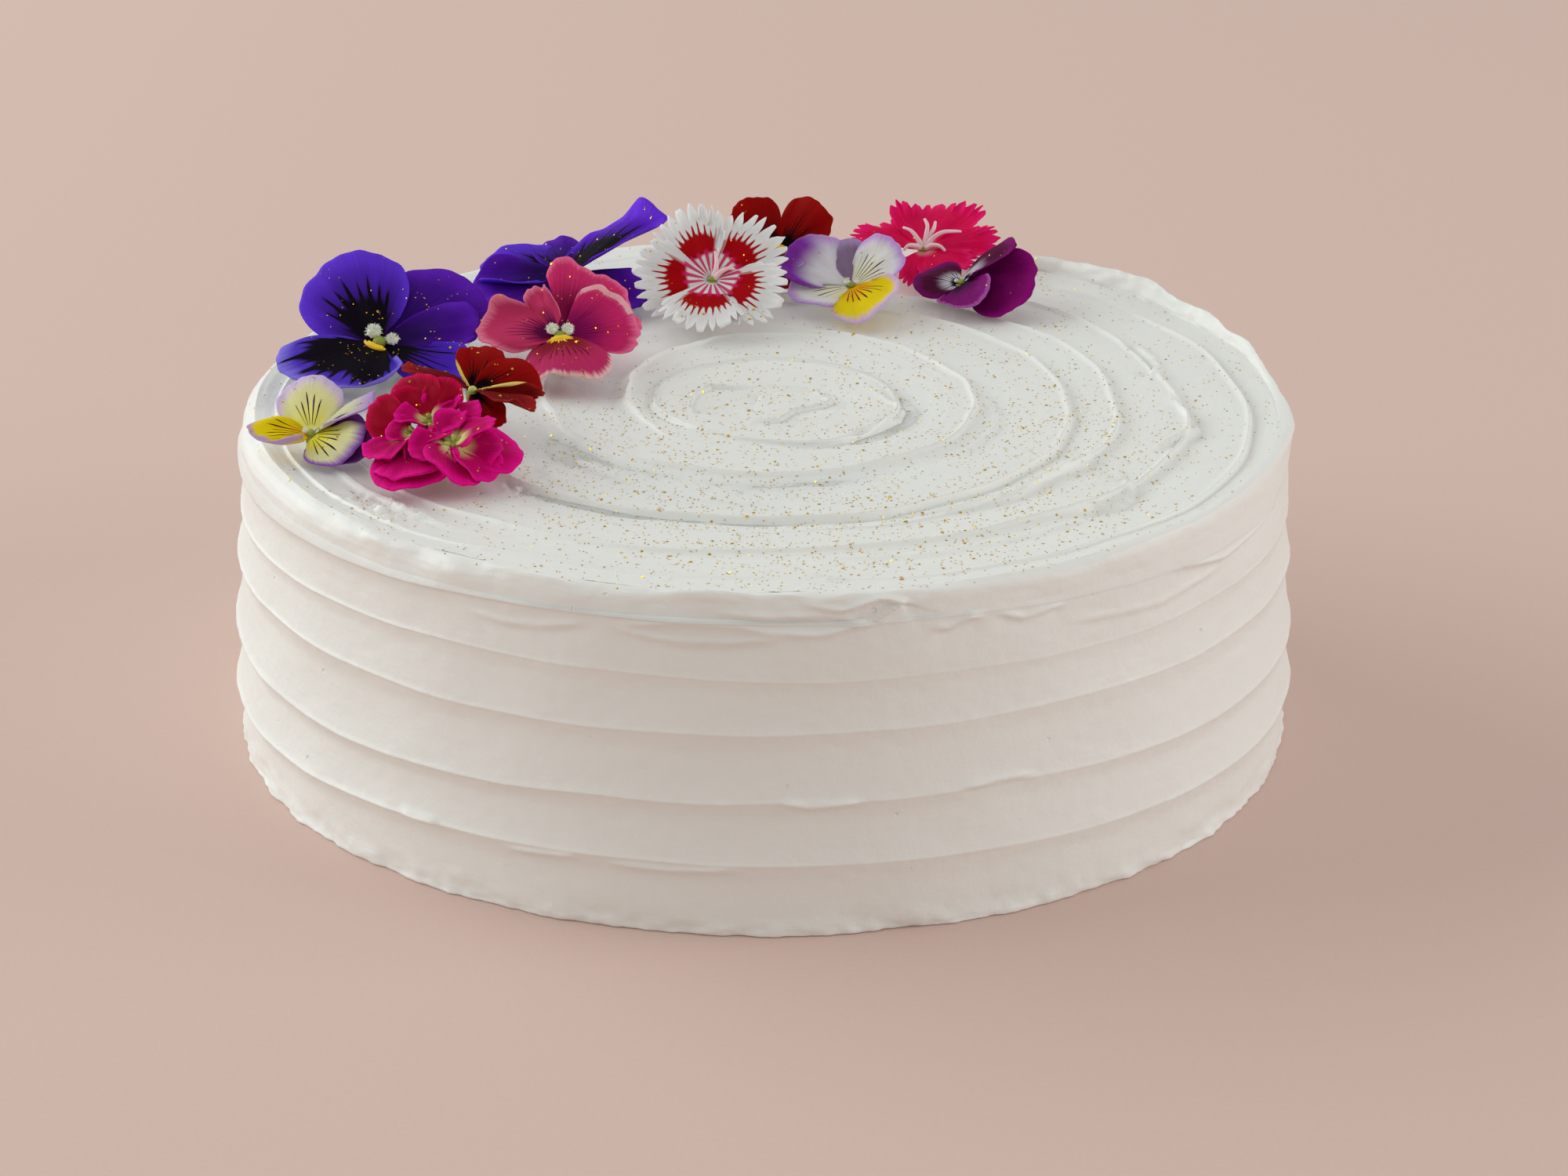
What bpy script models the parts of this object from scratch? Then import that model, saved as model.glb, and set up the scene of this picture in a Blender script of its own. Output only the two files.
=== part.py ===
"""A round layer cake, iced in white with a spiral on its top, and edible flowers on its left and back.

Metres, +Z up. The origin is the centre of the cake's flat underside. An azimuth is an angle in plan,
in degrees: 0 is the cake's right, 90 its back and -90 its front.
"""

import math
from collections import namedtuple

import bmesh
import bpy
import numpy as np
from mathutils import Matrix, Vector

MM = 0.001

# The cake: lengths in millimetres until the points are placed
TOP_HEIGHT = 67.3
RIM_RADIUS = 104.8
RIM_CROWN_INSET = 1.2
RIM_EDGE_DROP = 2.2
RIM_EDGE_OUT = 0.4
FOOT_RADIUS = 107.6
SECTORS = 48

# The top's middle is a little hollow: radius and depth of its rings, from the middle out
MIDDLE_RINGS = ((4.0, 0.4), (9.0, 0.9), (15.0, 0.6))

# Between two crests the icing drops sharply, then rises slowly to the next
UNDER_CREST = 0.18
MID_BAND = 0.55
HOLLOW_CURVE = 1.3
TOP_STEP_DEPTH = 1.4
LAST_STEP_INSET = 1.5

# Crests of the spiral on the top, from the middle out. Each crest is a closed line round the cake, as
# (azimuth, radius, strength), and it fades out where the strength is 0 and one turn becomes the next.
TOP_CRESTS = (
    (
        (-168, 22.1, 1), (-113, 22.1, 0.3), (-62, 27.6, 0.9), (-16, 27.8, 1),
        (35, 24.8, 1), (77, 23.6, 1), (128, 22.6, 1),
    ),
    (
        (-155, 26.8, 0.7), (180, 27.8, 1), (154, 30.5, 1), (122, 35, 1), (99, 39.5, 1),
        (70, 40.8, 0.3), (30, 36.5, 0), (-60, 34, 0), (-118, 30, 0),
    ),
    (
        (67, 43.4, 0.7), (24, 41.6, 1), (-5, 42.6, 1), (-78, 43, 1), (-159, 43.2, 1),
        (-174, 44.1, 0.9), (150, 47.5, 0.3), (110, 47, 0),
    ),
    (
        (48, 60.8, 1), (0, 60.9, 1), (-29, 63.5, 1), (-76, 67, 1), (-121, 66.5, 1),
        (-165, 69, 0.8), (150, 67, 0.4), (90, 60, 0.5),
    ),
    (
        (49, 69.5, 0.8), (28, 72, 1), (1, 70, 1), (-11, 72, 1), (-43, 70.4, 0.6),
        (-90, 73.5, 0), (180, 77, 0), (100, 72, 0.3),
    ),
    (
        (42, 83.8, 1), (11, 81.6, 1), (-10, 86, 1), (-43, 84, 1), (-70, 82, 0.7),
        (-130, 86, 0.5), (180, 88, 0.6), (90, 85, 0.5),
    ),
    (
        (42, 94.8, 1), (-5, 97.4, 1), (-34, 99.6, 0.6), (-90, 98, 0), (-150, 98.5, 0.3),
        (100, 96, 0.5),
    ),
)
CREST_ROUNDING = (-9, -5, 0, 5, 9)

# Crests of the rings on the side, from the top down: height at the front, radius, depth of the hollow below
SHOULDER = (61.5, 105.7, 0.7)
SIDE_CRESTS = ((51.6, 106.0, 0.8), (41.3, 106.8, 1.3), (27.0, 107.8, 1.5), (14.7, 108.2, 1.3))
SIDE_SAG = 2.5
SIDE_WAVER = (0.5, 0.4)

# Where the rim was lifted or pulled over by the last stroke: (azimuth, half width, rise)
RIM_LIFTS = ((42, 20, 3.6), (14, 14, 1.2), (-63, 12, -0.8), (180, 30, -1.2))
EDGE_LIFT_SHARE = 0.7

# The flowers
PETAL_THICKNESS = 0.5
PETAL_ROOT = 1.0
OUTLINE_TURN = 0.97
REST_GAP = 1.0
REST_SOFTNESS = 1.5
STEM_GAP = 0.35
HEART_RADIUS = 1.5
STEM_RADIUS = 0.9
CALYX_RADIUS = 1.3
ROUND_CELLS = 6
PETAL_CELLS = (5, 3)
STOCK_CELLS = (4, 2)
TOOTHED_ALONG_CELLS = 2
TOOTH_DEPTH = 0.14

# One petal: plan azimuth and climb of its length, length, half of its spread, fullness of its outline (a low
# value is a broad petal), roll about its length, bend, skew of the outline and cup across it
Petal = namedtuple("Petal", "azimuth climb length spread fullness roll bend skew cup")
# One flower head: eye in plan, height of the eye above the icing, azimuth and amount that its face leans,
# and teeth along the edge of each petal
Head = namedtuple("Head", "x y height lean_azimuth lean teeth petals")

FLOWERS = {
    "blue_pansy_front": [
        Head(-79.0, 15.0, 6.0, -85, 30, 0, (
            Petal(122, 31, 24.0, 57, 0.40, 10, 8, 0.04, 0.01),
            Petal(39, 18, 25.0, 51, 0.38, -4, 11, 0.04, 0.13),
            Petal(14, 9, 21.0, 34, 0.40, 0, 10, 0.0, 0.15),
            Petal(-32, -6, 21.5, 35, 0.37, 4, -7, -0.05, 0.08),
            Petal(-116, -3, 26.5, 54, 0.35, -1, 9, 0.12, 0.16),
        )),
    ],
    "yellow_viola": [
        Head(-88.0, -34.0, 4.0, -60, 30, 0, (
            Petal(99, 40, 14.0, 53, 0.36, 20, 3, 0.03, -0.2),
            Petal(14, 30, 15.0, 44, 0.37, 45, 15, -0.02, 0.12),
            Petal(-45, 4, 13.0, 63, 0.38, -25, 9, 0.0, -0.09),
            Petal(-30, 0, 13.5, 51, 0.36, -30, 11, 0.02, 0.11),
            Petal(-165, 8, 12.5, 50, 0.36, -6, 8, 0.05, 0.5),
        )),
    ],
    "stock_cluster": [
        Head(-64.3, -40.9, 9.0, -90, 30, 0, (
            Petal(115, 22, 14.0, 42, 0.39, 7, 9, 0.0, 0.08),
            Petal(71, 29, 11.5, 38, 0.39, 0, 8, 0.0, 0.09),
            Petal(131, 31, 10.0, 60, 0.37, -3, 6, 0.0, -0.17),
            Petal(63, 31, 9.0, 41, 0.39, 10, 11, 0.02, 0.12),
            Petal(8, 15, 10.5, 37, 0.36, 8, 11, -0.02, 0.22),
        )),
        Head(-66.7, -44.7, 8.0, -110, 25, 0, (
            Petal(142, 11, 12.5, 38, 0.37, 45, 15, 0.13, 0.25),
            Petal(-171, 16, 6.0, 51, 0.35, 5, 9, 0.0, 0.06),
            Petal(-147, -15, 11.0, 50, 0.36, -28, 17, 0.0, 0.3),
            Petal(-98, -18, 14.5, 48, 0.37, -5, 6, -0.08, 0.15),
            Petal(-88, -19, 16.5, 50, 0.36, 0, 9, -0.03, 0.05),
            Petal(-83, -20, 10.0, 27, 0.39, 20, 14, -0.05, 0.16),
        )),
        Head(-59.2, -49.8, 8.0, -80, 25, 0, (
            Petal(6, 37, 9.5, 57, 0.36, 29, 9, -0.02, -0.03),
            Petal(15, -12, 13.5, 53, 0.37, 12, 8, 0.03, 0.03),
            Petal(1, -6, 9.5, 47, 0.37, 3, 11, 0.05, 0.11),
            Petal(-40, -17, 11.5, 44, 0.38, 18, 10, 0.03, 0.11),
            Petal(-88, -14, 12.0, 51, 0.39, 19, 15, 0.0, 0.13),
            Petal(151, 10, 6.0, 48, 0.36, 6, 13, 0.02, 0.18),
        )),
    ],
    "red_viola_left": [
        Head(-57.5, -21.5, 9.0, -70, 50, 0, (
            Petal(73, 27, 12.0, 52, 0.36, 10, 7, 0.0, 0.0),
            Petal(29, 8, 14.0, 45, 0.50, 2, 11, 0.17, 0.04),
            Petal(5, 1, 13.0, 26, 0.40, -50, 12, 0.0, 0.1),
            Petal(-35, -1, 15.0, 27, 0.37, 45, 15, -0.03, 0.14),
            Petal(152, 10, 15.5, 28, 0.37, -45, 15, -0.04, 0.19),
            Petal(-57, -30, 11.0, 39, 0.40, 4, 14, 0.03, 0.18),
        )),
    ],
    "pink_pansy": [
        Head(-42.0, 14.0, 8.0, -85, 32, 0, (
            Petal(70, 19, 24.5, 37, 0.17, -10, 28, -0.07, -0.03),
            Petal(41, 5, 20.0, 45, 0.17, 0, 14, -0.30, 0.03),
            Petal(118, 27, 14.5, 26, 0.41, 45, 15, 0.13, 0.16),
            Petal(165, 4, 17.5, 48, 0.36, -12, 13, 0.08, 0.14),
            Petal(-91, -3, 16.5, 72, 0.34, -14, 4, -0.15, -0.4),
        )),
    ],
    "blue_pansy_rear": [
        Head(-42.5, 58.0, 7.0, -90, 20, 0, (
            Petal(154, -1, 20.5, 62, 0.34, -7, 8, -0.05, 0.04),
            Petal(43, 21, 25.0, 62, 0.27, 32, 9, 0.04, 0.07),
            Petal(-161, -7, 21.0, 42, 0.35, 3, 15, 0.08, 0.18),
            Petal(-26, -9, 18.5, 36, 0.33, -9, 12, 0.1, 0.16),
            Petal(98, 6, 18.0, 44, 0.36, 0, 12, 0.0, 0.1),
        )),
    ],
    "white_dianthus": [
        Head(-11.5, 48.5, 9.0, -90, 34, 6, (
            Petal(120, 38, 18.5, 39, 0.20, 16, 14, 0.0, 0.19),
            Petal(35, 28, 18.5, 41, 0.20, -9, 13, -0.03, 0.20),
            Petal(-33, -7, 17.5, 44, 0.19, -11, 11, 0.0, 0.10),
            Petal(-98, -18, 17.0, 47, 0.16, -1, 8, 0.09, -0.05),
            Petal(-169, 0, 16.5, 47, 0.11, 19, 12, 0.05, 0.13),
        )),
    ],
    "red_viola_rear": [
        Head(3.0, 69.0, 9.0, -90, 45, 0, (
            Petal(155, 40, 14.0, 46, 0.27, 0, 14, 0.02, 0.23),
            Petal(10, 48, 13.5, 46, 0.31, 0, 6, 0.0, 0.11),
            Petal(180, -18, 12.5, 34, 0.38, -20, 12, 0.0, 0.1),
            Petal(-5, -20, 12.0, 40, 0.38, 10, 12, 0.0, 0.1),
            Petal(-92, -32, 11.0, 48, 0.36, 0, 12, 0.0, 0.1),
        )),
    ],
    "lilac_viola": [
        Head(18.2, 56.7, 5.0, -90, 32, 0, (
            Petal(147, 26, 16.5, 51, 0.31, 2, 10, -0.12, 0.10),
            Petal(90, 40, 13.0, 43, 0.38, -4, 11, -0.02, 0.14),
            Petal(22, 40, 13.5, 54, 0.35, 7, 8, 0.05, 0.01),
            Petal(-176, 1, 13.5, 62, 0.34, -7, 12, -0.08, 0.26),
            Petal(-69, -1, 16.0, 57, 0.35, -10, 10, 0.05, 0.06),
        )),
    ],
    "crimson_dianthus": [
        Head(34.2, 79.5, 6.0, -90, 25, 5, (
            Petal(77, 11, 20.0, 48, 0.18, 7, 13, 0.09, 0.34),
            Petal(148, 8, 16.5, 41, 0.22, -18, 14, -0.05, 0.24),
            Petal(0, 9, 16.5, 36, 0.24, 4, 8, 0.07, 0.08),
            Petal(-106, -16, 13.0, 32, 0.24, 0, 13, -0.02, 0.18),
            Petal(-59, -5, 14.5, 42, 0.20, -3, 8, 0.0, 0.02),
        )),
    ],
    "purple_viola": [
        Head(41.7, 59.2, 5.0, -70, 28, 0, (
            Petal(-31, 5, 17.5, 50, 0.22, -22, 3, -0.05, 0.13),
            Petal(15, 38, 15.0, 45, 0.39, 45, 13, 0.02, 0.11),
            Petal(157, 1, 10.5, 70, 0.25, -4, 10, 0.09, -0.13),
            Petal(-79, -3, 12.0, 60, 0.36, -34, 15, 0.04, 0.23),
        )),
    ],
}

ICING_WHITE = (0.83, 0.80, 0.76)
FLOWER_COLOURS = {
    "blue_pansy_front": (0.045, 0.015, 0.36),
    "yellow_viola": (0.72, 0.60, 0.13),
    "stock_cluster": (0.50, 0.004, 0.10),
    "red_viola_left": (0.20, 0.004, 0.006),
    "pink_pansy": (0.50, 0.03, 0.13),
    "blue_pansy_rear": (0.06, 0.012, 0.33),
    "white_dianthus": (0.78, 0.76, 0.74),
    "red_viola_rear": (0.14, 0.004, 0.006),
    "lilac_viola": (0.45, 0.30, 0.66),
    "crimson_dianthus": (0.50, 0.006, 0.06),
    "purple_viola": (0.10, 0.005, 0.16),
}


def clear_scene():
    for obj in list(bpy.data.objects):
        bpy.data.objects.remove(obj, do_unlink=True)


def new_collection(name):
    collection = bpy.data.collections.new(name)
    bpy.context.scene.collection.children.link(collection)
    return collection


def new_material(name, colour, roughness):
    material = bpy.data.materials.new(name)
    material.use_nodes = True
    shader = material.node_tree.nodes["Principled BSDF"]
    shader.inputs["Base Color"].default_value = (*colour, 1)
    shader.inputs["Roughness"].default_value = roughness
    shader.inputs["Metallic"].default_value = 0
    return material


def new_object(name, bm, collection, material):
    mesh = bpy.data.meshes.new(name)
    bm.to_mesh(mesh)
    bm.free()
    mesh.materials.append(material)
    mesh.shade_smooth()
    obj = bpy.data.objects.new(name, mesh)
    collection.objects.link(obj)
    return obj


# The cake


def around(points, azimuth, column):
    """Value of one column of a crest's points at an azimuth, rounded off over a few degrees."""
    angles = [point[0] % 360 for point in points]
    values = [point[column] for point in points]
    spread = np.interp([azimuth + step for step in CREST_ROUNDING], angles, values, period=360)
    return float(spread.mean())


def hollow(fraction):
    """Depth across the hollow between two crests: a sharp drop past the first, then a slow rise to the next."""
    return min(1.0, fraction / UNDER_CREST) * (1 - fraction) ** HOLLOW_CURVE


def rim_lift(azimuth):
    total = 0.0
    for centre, half_width, rise in RIM_LIFTS:
        away = (azimuth - centre + 180) % 360 - 180
        total += rise * math.exp(-((away / half_width) ** 2))
    return total


def ring_height(height, azimuth, index):
    """Height of a side ring: level, but a little lower away from the front, with a hand-made waver."""
    angle = math.radians(azimuth)
    front = max(0.0, -math.sin(angle))
    broad, narrow = SIDE_WAVER
    waver = broad * math.sin(2 * angle + index) + narrow * math.sin(3 * angle + 2 * index)
    return height - SIDE_SAG * (1 - front**2) + waver


def top_rings():
    """Functions of azimuth that give (radius, height) of each ring on the top, from the middle out."""
    rings = [lambda azimuth, ring=ring: (ring[0], TOP_HEIGHT - ring[1]) for ring in MIDDLE_RINGS[1:]]
    for index, crest in enumerate(TOP_CRESTS):
        outer = TOP_CRESTS[index + 1] if index + 1 < len(TOP_CRESTS) else None
        for fraction in (0.0, UNDER_CREST):

            def ring(azimuth, crest=crest, outer=outer, fraction=fraction):
                start = around(crest, azimuth, 1)
                end = around(outer, azimuth, 1) if outer else RIM_RADIUS - LAST_STEP_INSET
                depth = TOP_STEP_DEPTH * around(crest, azimuth, 2) * hollow(fraction)
                return start + (end - start) * fraction, TOP_HEIGHT - depth

            rings.append(ring)
    return rings


def side_rings():
    """Functions of azimuth for the rim and the side, from the rim down to the foot."""

    def rim(azimuth):
        return RIM_RADIUS - RIM_CROWN_INSET, TOP_HEIGHT + rim_lift(azimuth)

    def edge(azimuth):
        lift = EDGE_LIFT_SHARE * rim_lift(azimuth)
        return RIM_RADIUS + RIM_EDGE_OUT, TOP_HEIGHT - RIM_EDGE_DROP + lift

    rings = [rim, edge]
    crests = (SHOULDER, *SIDE_CRESTS, (0.0, FOOT_RADIUS, 0.0))
    for index in range(len(crests) - 1):
        for fraction in (0.0, UNDER_CREST, MID_BAND):

            def ring(azimuth, index=index, fraction=fraction):
                height, radius, depth = crests[index]
                low_height, low_radius, _ = crests[index + 1]
                start = ring_height(height, azimuth, index)
                end = ring_height(low_height, azimuth, index + 1) if low_height else 0.0
                out = radius + (low_radius - radius) * fraction - depth * hollow(fraction)
                return out, start + (end - start) * fraction

            rings.append(ring)
    rings.append(lambda azimuth: (FOOT_RADIUS, 0.0))
    return rings


def make_cake(collection):
    bm = bmesh.new()
    radius, depth = MIDDLE_RINGS[0]
    bmesh.ops.create_circle(bm, cap_ends=True, cap_tris=True, segments=SECTORS, radius=radius)
    for vert in bm.verts:
        vert.co.z = TOP_HEIGHT - depth
    edge_loop = [edge for edge in bm.edges if edge.is_boundary]
    for ring in top_rings() + side_rings():
        grown = bmesh.ops.extrude_edge_only(bm, edges=edge_loop)["geom"]
        for vert in grown:
            if isinstance(vert, bmesh.types.BMVert):
                azimuth = math.degrees(math.atan2(vert.co.y, vert.co.x))
                radius, height = ring(azimuth)
                angle = math.radians(azimuth)
                vert.co = (radius * math.cos(angle), radius * math.sin(angle), height)
        edge_loop = [item for item in grown if isinstance(item, bmesh.types.BMEdge)]
    bmesh.ops.edgeloop_fill(bm, edges=edge_loop)
    bmesh.ops.scale(bm, vec=(MM, MM, MM), verts=bm.verts)
    bmesh.ops.recalc_face_normals(bm, faces=bm.faces)
    return new_object("iced_cake", bm, collection, new_material("white icing", ICING_WHITE, 0.45))


# The flowers


def direction(azimuth, climb):
    plan, up = math.radians(azimuth), math.radians(climb)
    return Vector((math.cos(up) * math.cos(plan), math.cos(up) * math.sin(plan), math.sin(up)))


def rest(height):
    """A petal that would sink into the icing lies just above it instead, in a smooth curve."""
    above = height - (TOP_HEIGHT + REST_GAP)
    if above < REST_SOFTNESS:
        above = REST_SOFTNESS * math.exp(above / REST_SOFTNESS - 1)
    return TOP_HEIGHT + REST_GAP + above


def eye_of(head):
    return Vector((head.x, head.y, TOP_HEIGHT + head.height))


def petal_point(head, petal, across, along):
    """Point on a petal. Across runs from -1 to 1 between its side edges, along from 0 at the root to 1."""
    outline = math.cos(across * OUTLINE_TURN * math.pi / 2) ** petal.fullness
    reach = petal.length * outline * (1 + petal.skew * across)
    if head.teeth:
        notch = 0.5 - 0.5 * math.cos(math.pi * head.teeth * (across + 1))
        reach *= 1 - TOOTH_DEPTH * notch * along**3
    distance = PETAL_ROOT + (reach - PETAL_ROOT) * along
    angle = math.radians(petal.spread) * across
    sideways, forward = distance * math.sin(angle), distance * math.cos(angle)

    half_bend = math.radians(petal.bend) / 2
    turned = half_bend - 2 * half_bend * forward / petal.length
    out = petal.length * (math.sin(half_bend) - math.sin(turned)) / (2 * half_bend)
    rise = petal.length * (math.cos(turned) - math.cos(half_bend)) / (2 * half_bend)
    rise += petal.cup * sideways**2 / petal.length

    length_way = direction(petal.azimuth, petal.climb)
    face = direction(head.lean_azimuth, 90 - head.lean)
    side_way = length_way.cross(face).normalized()
    up_way = side_way.cross(length_way)
    turn = Matrix.Rotation(-math.radians(petal.roll), 3, length_way)
    side_way, up_way = turn @ side_way, turn @ up_way
    point = eye_of(head) + length_way * out + side_way * sideways + up_way * rise
    point.z = rest(point.z)
    return point * MM


def add_petal(name, head, petal, cells, collection, material):
    bm = bmesh.new()
    bmesh.ops.create_grid(bm, x_segments=cells[0], y_segments=cells[1], size=1)
    bmesh.ops.triangulate(bm, faces=bm.faces, quad_method="FIXED")
    for vert in bm.verts:
        vert.co = petal_point(head, petal, vert.co.x, (vert.co.y + 1) / 2)
    obj = new_object(name, bm, collection, material)
    wall = obj.modifiers.new("thickness", "SOLIDIFY")
    wall.thickness = PETAL_THICKNESS * MM
    wall.offset = 0
    return obj


def stem_foot(heads):
    """Where the stems of a flower's heads meet, just above the icing. Leaning stems need a little more room."""
    foot = sum((eye_of(head) for head in heads), Vector()) / len(heads)
    foot.z = TOP_HEIGHT + STEM_GAP
    if len(heads) > 1:
        foot.z += STEM_RADIUS
    return foot


def add_heart(name, head, foot, collection, material):
    """The eye of the flower, a small ball, on a calyx and a stub of stem that stand on the icing."""
    eye = eye_of(head)
    bm = bmesh.new()
    bmesh.ops.create_uvsphere(
        bm,
        u_segments=ROUND_CELLS,
        v_segments=ROUND_CELLS,
        radius=HEART_RADIUS * MM,
        matrix=Matrix.Translation(eye * MM),
    )
    ball = new_object(name + "_ball", bm, collection, material)
    stem = eye - foot
    stem_turn = stem.to_track_quat("Z", "X").to_matrix().to_4x4()
    bm = bmesh.new()
    bmesh.ops.create_cone(
        bm,
        cap_ends=True,
        segments=ROUND_CELLS,
        radius1=STEM_RADIUS * MM,
        radius2=CALYX_RADIUS * MM,
        depth=stem.length * MM,
        matrix=Matrix.Translation((eye + foot) / 2 * MM) @ stem_turn,
    )
    new_object(name + "_calyx", bm, collection, material)
    return ball


def make_flower(name, heads, collection):
    """All petals and hearts of one flower as one solid."""
    material = new_material(name.replace("_", " "), FLOWER_COLOURS[name], 0.55)
    pieces = new_collection(name + "_pieces")
    balls = []
    for head_index, head in enumerate(heads):
        label = f"{name}_{head_index}"
        balls.append(add_heart(label, head, stem_foot(heads), pieces, material))
        cells = STOCK_CELLS if len(heads) > 1 else PETAL_CELLS
        if head.teeth:
            cells = (2 * head.teeth, TOOTHED_ALONG_CELLS)
        for petal_index, petal in enumerate(head.petals):
            add_petal(f"{label}_{petal_index}", head, petal, cells, pieces, material)
    core = balls[0]
    pieces.objects.unlink(core)
    collection.objects.link(core)
    union = core.modifiers.new("petals", "BOOLEAN")
    union.operation = "UNION"
    union.operand_type = "COLLECTION"
    union.collection = pieces
    union.solver = "EXACT"
    bpy.context.view_layer.update()
    graph = bpy.context.evaluated_depsgraph_get()
    mesh = bpy.data.meshes.new_from_object(core.evaluated_get(graph))
    mesh.name = name
    flower = bpy.data.objects.new(name, mesh)
    collection.objects.link(flower)
    for obj in [core, *pieces.objects]:
        bpy.data.objects.remove(obj, do_unlink=True)
    bpy.data.collections.remove(pieces)
    return flower


def main():
    clear_scene()
    cake = new_collection("layer_cake")
    make_cake(cake)
    for name, heads in FLOWERS.items():
        make_flower(name, heads, cake)


main()
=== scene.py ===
# %% [markdown]
# # A layer cake with fresh flowers
# A tall round cake, iced in white with a palette knife, stands on a pale floor. Its side shows level rings,
# its top a spiral, and eleven edible flowers lie along its left and back under a dusting of gold glitter.
# The solids of the cake and the flowers are loaded first. They give the places and sizes, and every piece
# made below stands for one of them, apart from the glitter, which is too fine for a solid. Lengths are in
# millimetres until the points are placed.

import math
import random
from collections import namedtuple

import bmesh
import bpy
import numpy as np
from mathutils import Matrix, Vector, noise
from mathutils.bvhtree import BVHTree


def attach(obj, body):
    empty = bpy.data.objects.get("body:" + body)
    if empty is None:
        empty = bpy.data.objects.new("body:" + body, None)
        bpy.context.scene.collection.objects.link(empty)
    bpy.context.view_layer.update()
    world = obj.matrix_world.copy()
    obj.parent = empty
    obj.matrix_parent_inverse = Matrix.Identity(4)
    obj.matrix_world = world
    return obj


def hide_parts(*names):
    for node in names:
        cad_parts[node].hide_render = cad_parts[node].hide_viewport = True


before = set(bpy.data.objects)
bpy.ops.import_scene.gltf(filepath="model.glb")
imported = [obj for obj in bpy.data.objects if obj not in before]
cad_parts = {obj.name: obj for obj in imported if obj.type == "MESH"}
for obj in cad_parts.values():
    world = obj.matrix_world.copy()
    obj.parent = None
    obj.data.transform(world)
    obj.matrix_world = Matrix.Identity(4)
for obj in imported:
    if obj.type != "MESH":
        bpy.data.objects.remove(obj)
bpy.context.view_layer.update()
MM = 0.001
print("solids:", sorted(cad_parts))

# %% [markdown]
# Nearly every surface here is a mix of noises. Such a node tree could be wired node by node, but a plain sum
# reads better. So a Wire stands for one socket of a node, and adding, subtracting or multiplying wires, or
# raising one to a power, adds the Math nodes. A Finish is one material: it makes any other node from its
# type, its settings and the values or wires of its sockets.


# %% Wires and finishes
class Wire:
    """One output socket that can be used in a sum."""

    def __init__(self, finish, socket):
        self.finish = finish
        self.socket = socket

    def __add__(self, other):
        return self.finish.math("ADD", self, other)

    def __radd__(self, other):
        return self.finish.math("ADD", other, self)

    def __sub__(self, other):
        return self.finish.math("SUBTRACT", self, other)

    def __rsub__(self, other):
        return self.finish.math("SUBTRACT", other, self)

    def __mul__(self, other):
        return self.finish.math("MULTIPLY", self, other)

    def __rmul__(self, other):
        return self.finish.math("MULTIPLY", other, self)

    def __pow__(self, other):
        return self.finish.math("POWER", self, other)


class Finish:
    """One material, with its own short ways to add nodes."""

    def __init__(self, name, **constants):
        self.material = bpy.data.materials.new(name)
        self.material.use_nodes = True
        self.tree = self.material.node_tree
        self.shader = self.tree.nodes["Principled BSDF"]
        for label, value in constants.items():
            self.shader.inputs[label.replace("_", " ")].default_value = value

    def plug(self, socket, value):
        if isinstance(value, Wire):
            self.tree.links.new(value.socket, socket)
        else:
            socket.default_value = value

    def node(self, kind, settings, sockets, output=0):
        node = self.tree.nodes.new(kind)
        for key, value in settings.items():
            setattr(node, key, value)
        for key, value in sockets.items():
            self.plug(node.inputs[key], value)
        return Wire(self, node.outputs[output])

    def math(self, operation, *values):
        return self.node("ShaderNodeMath", {"operation": operation}, dict(enumerate(values)))

    def eased(self, value, low, high):
        """0 below low, 1 above high, with a smooth step between."""
        settings = {"interpolation_type": "SMOOTHSTEP"}
        return self.node("ShaderNodeMapRange", settings, {"Value": value, "From Min": low, "From Max": high})

    def blend(self, amount, first, second):
        """A colour between two colours."""
        return self.node("ShaderNodeMix", {"data_type": "RGBA"}, {0: amount, 6: first, 7: second}, output=2)

    def noise(self, vector, scale, detail=2.0, rough=0.5):
        sockets = {"Vector": vector, "Scale": scale, "Detail": detail, "Roughness": rough}
        return self.node("ShaderNodeTexNoise", {"noise_dimensions": "3D"}, sockets)

    def noise_line(self, place, scale, detail=2.0, rough=0.5):
        """Noise along one number, such as the way across a petal."""
        sockets = {"W": place, "Scale": scale, "Detail": detail, "Roughness": rough}
        return self.node("ShaderNodeTexNoise", {"noise_dimensions": "1D"}, sockets)

    def parts_of(self, vector):
        split = self.node("ShaderNodeSeparateXYZ", {}, {0: vector})
        outputs = split.socket.node.outputs
        return [Wire(self, outputs[axis]) for axis in range(3)]

    def joined(self, x, y, z):
        return self.node("ShaderNodeCombineXYZ", {}, {0: x, 1: y, 2: z})

    def place(self):
        return self.node("ShaderNodeTexCoord", {}, {}, output=3)

    def uv(self):
        return self.node("ShaderNodeTexCoord", {}, {}, output=2)

    def bump(self, height, distance, strength):
        sockets = {"Height": height, "Distance": distance, "Strength": strength}
        self.plug(self.shader.inputs["Normal"], self.node("ShaderNodeBump", {}, sockets))


def rgb(red, green, blue):
    return (red, green, blue, 1.0)


def cloudy_finish(name, first, second, scale, detail=2.0, **constants):
    """A finish whose colour drifts between two colours."""
    finish = Finish(name, **constants)
    cloud = finish.noise(finish.place(), scale, detail)
    finish.plug(finish.shader.inputs["Base Color"], finish.blend(cloud, first, second))
    return finish


print("ready to mix finishes")

# %% [markdown]
# The camera looks down on the cake from the front, with a long lens that keeps the rings nearly level. The
# floor is one pale sheet that runs far past the view. The light could be a picture of a room, but two soft
# lamps are plainer to set: a large one at the left, a little behind the cake, for the bright left side and
# top, and a smaller one at the right. The pale surroundings fill in the rest.

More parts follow.
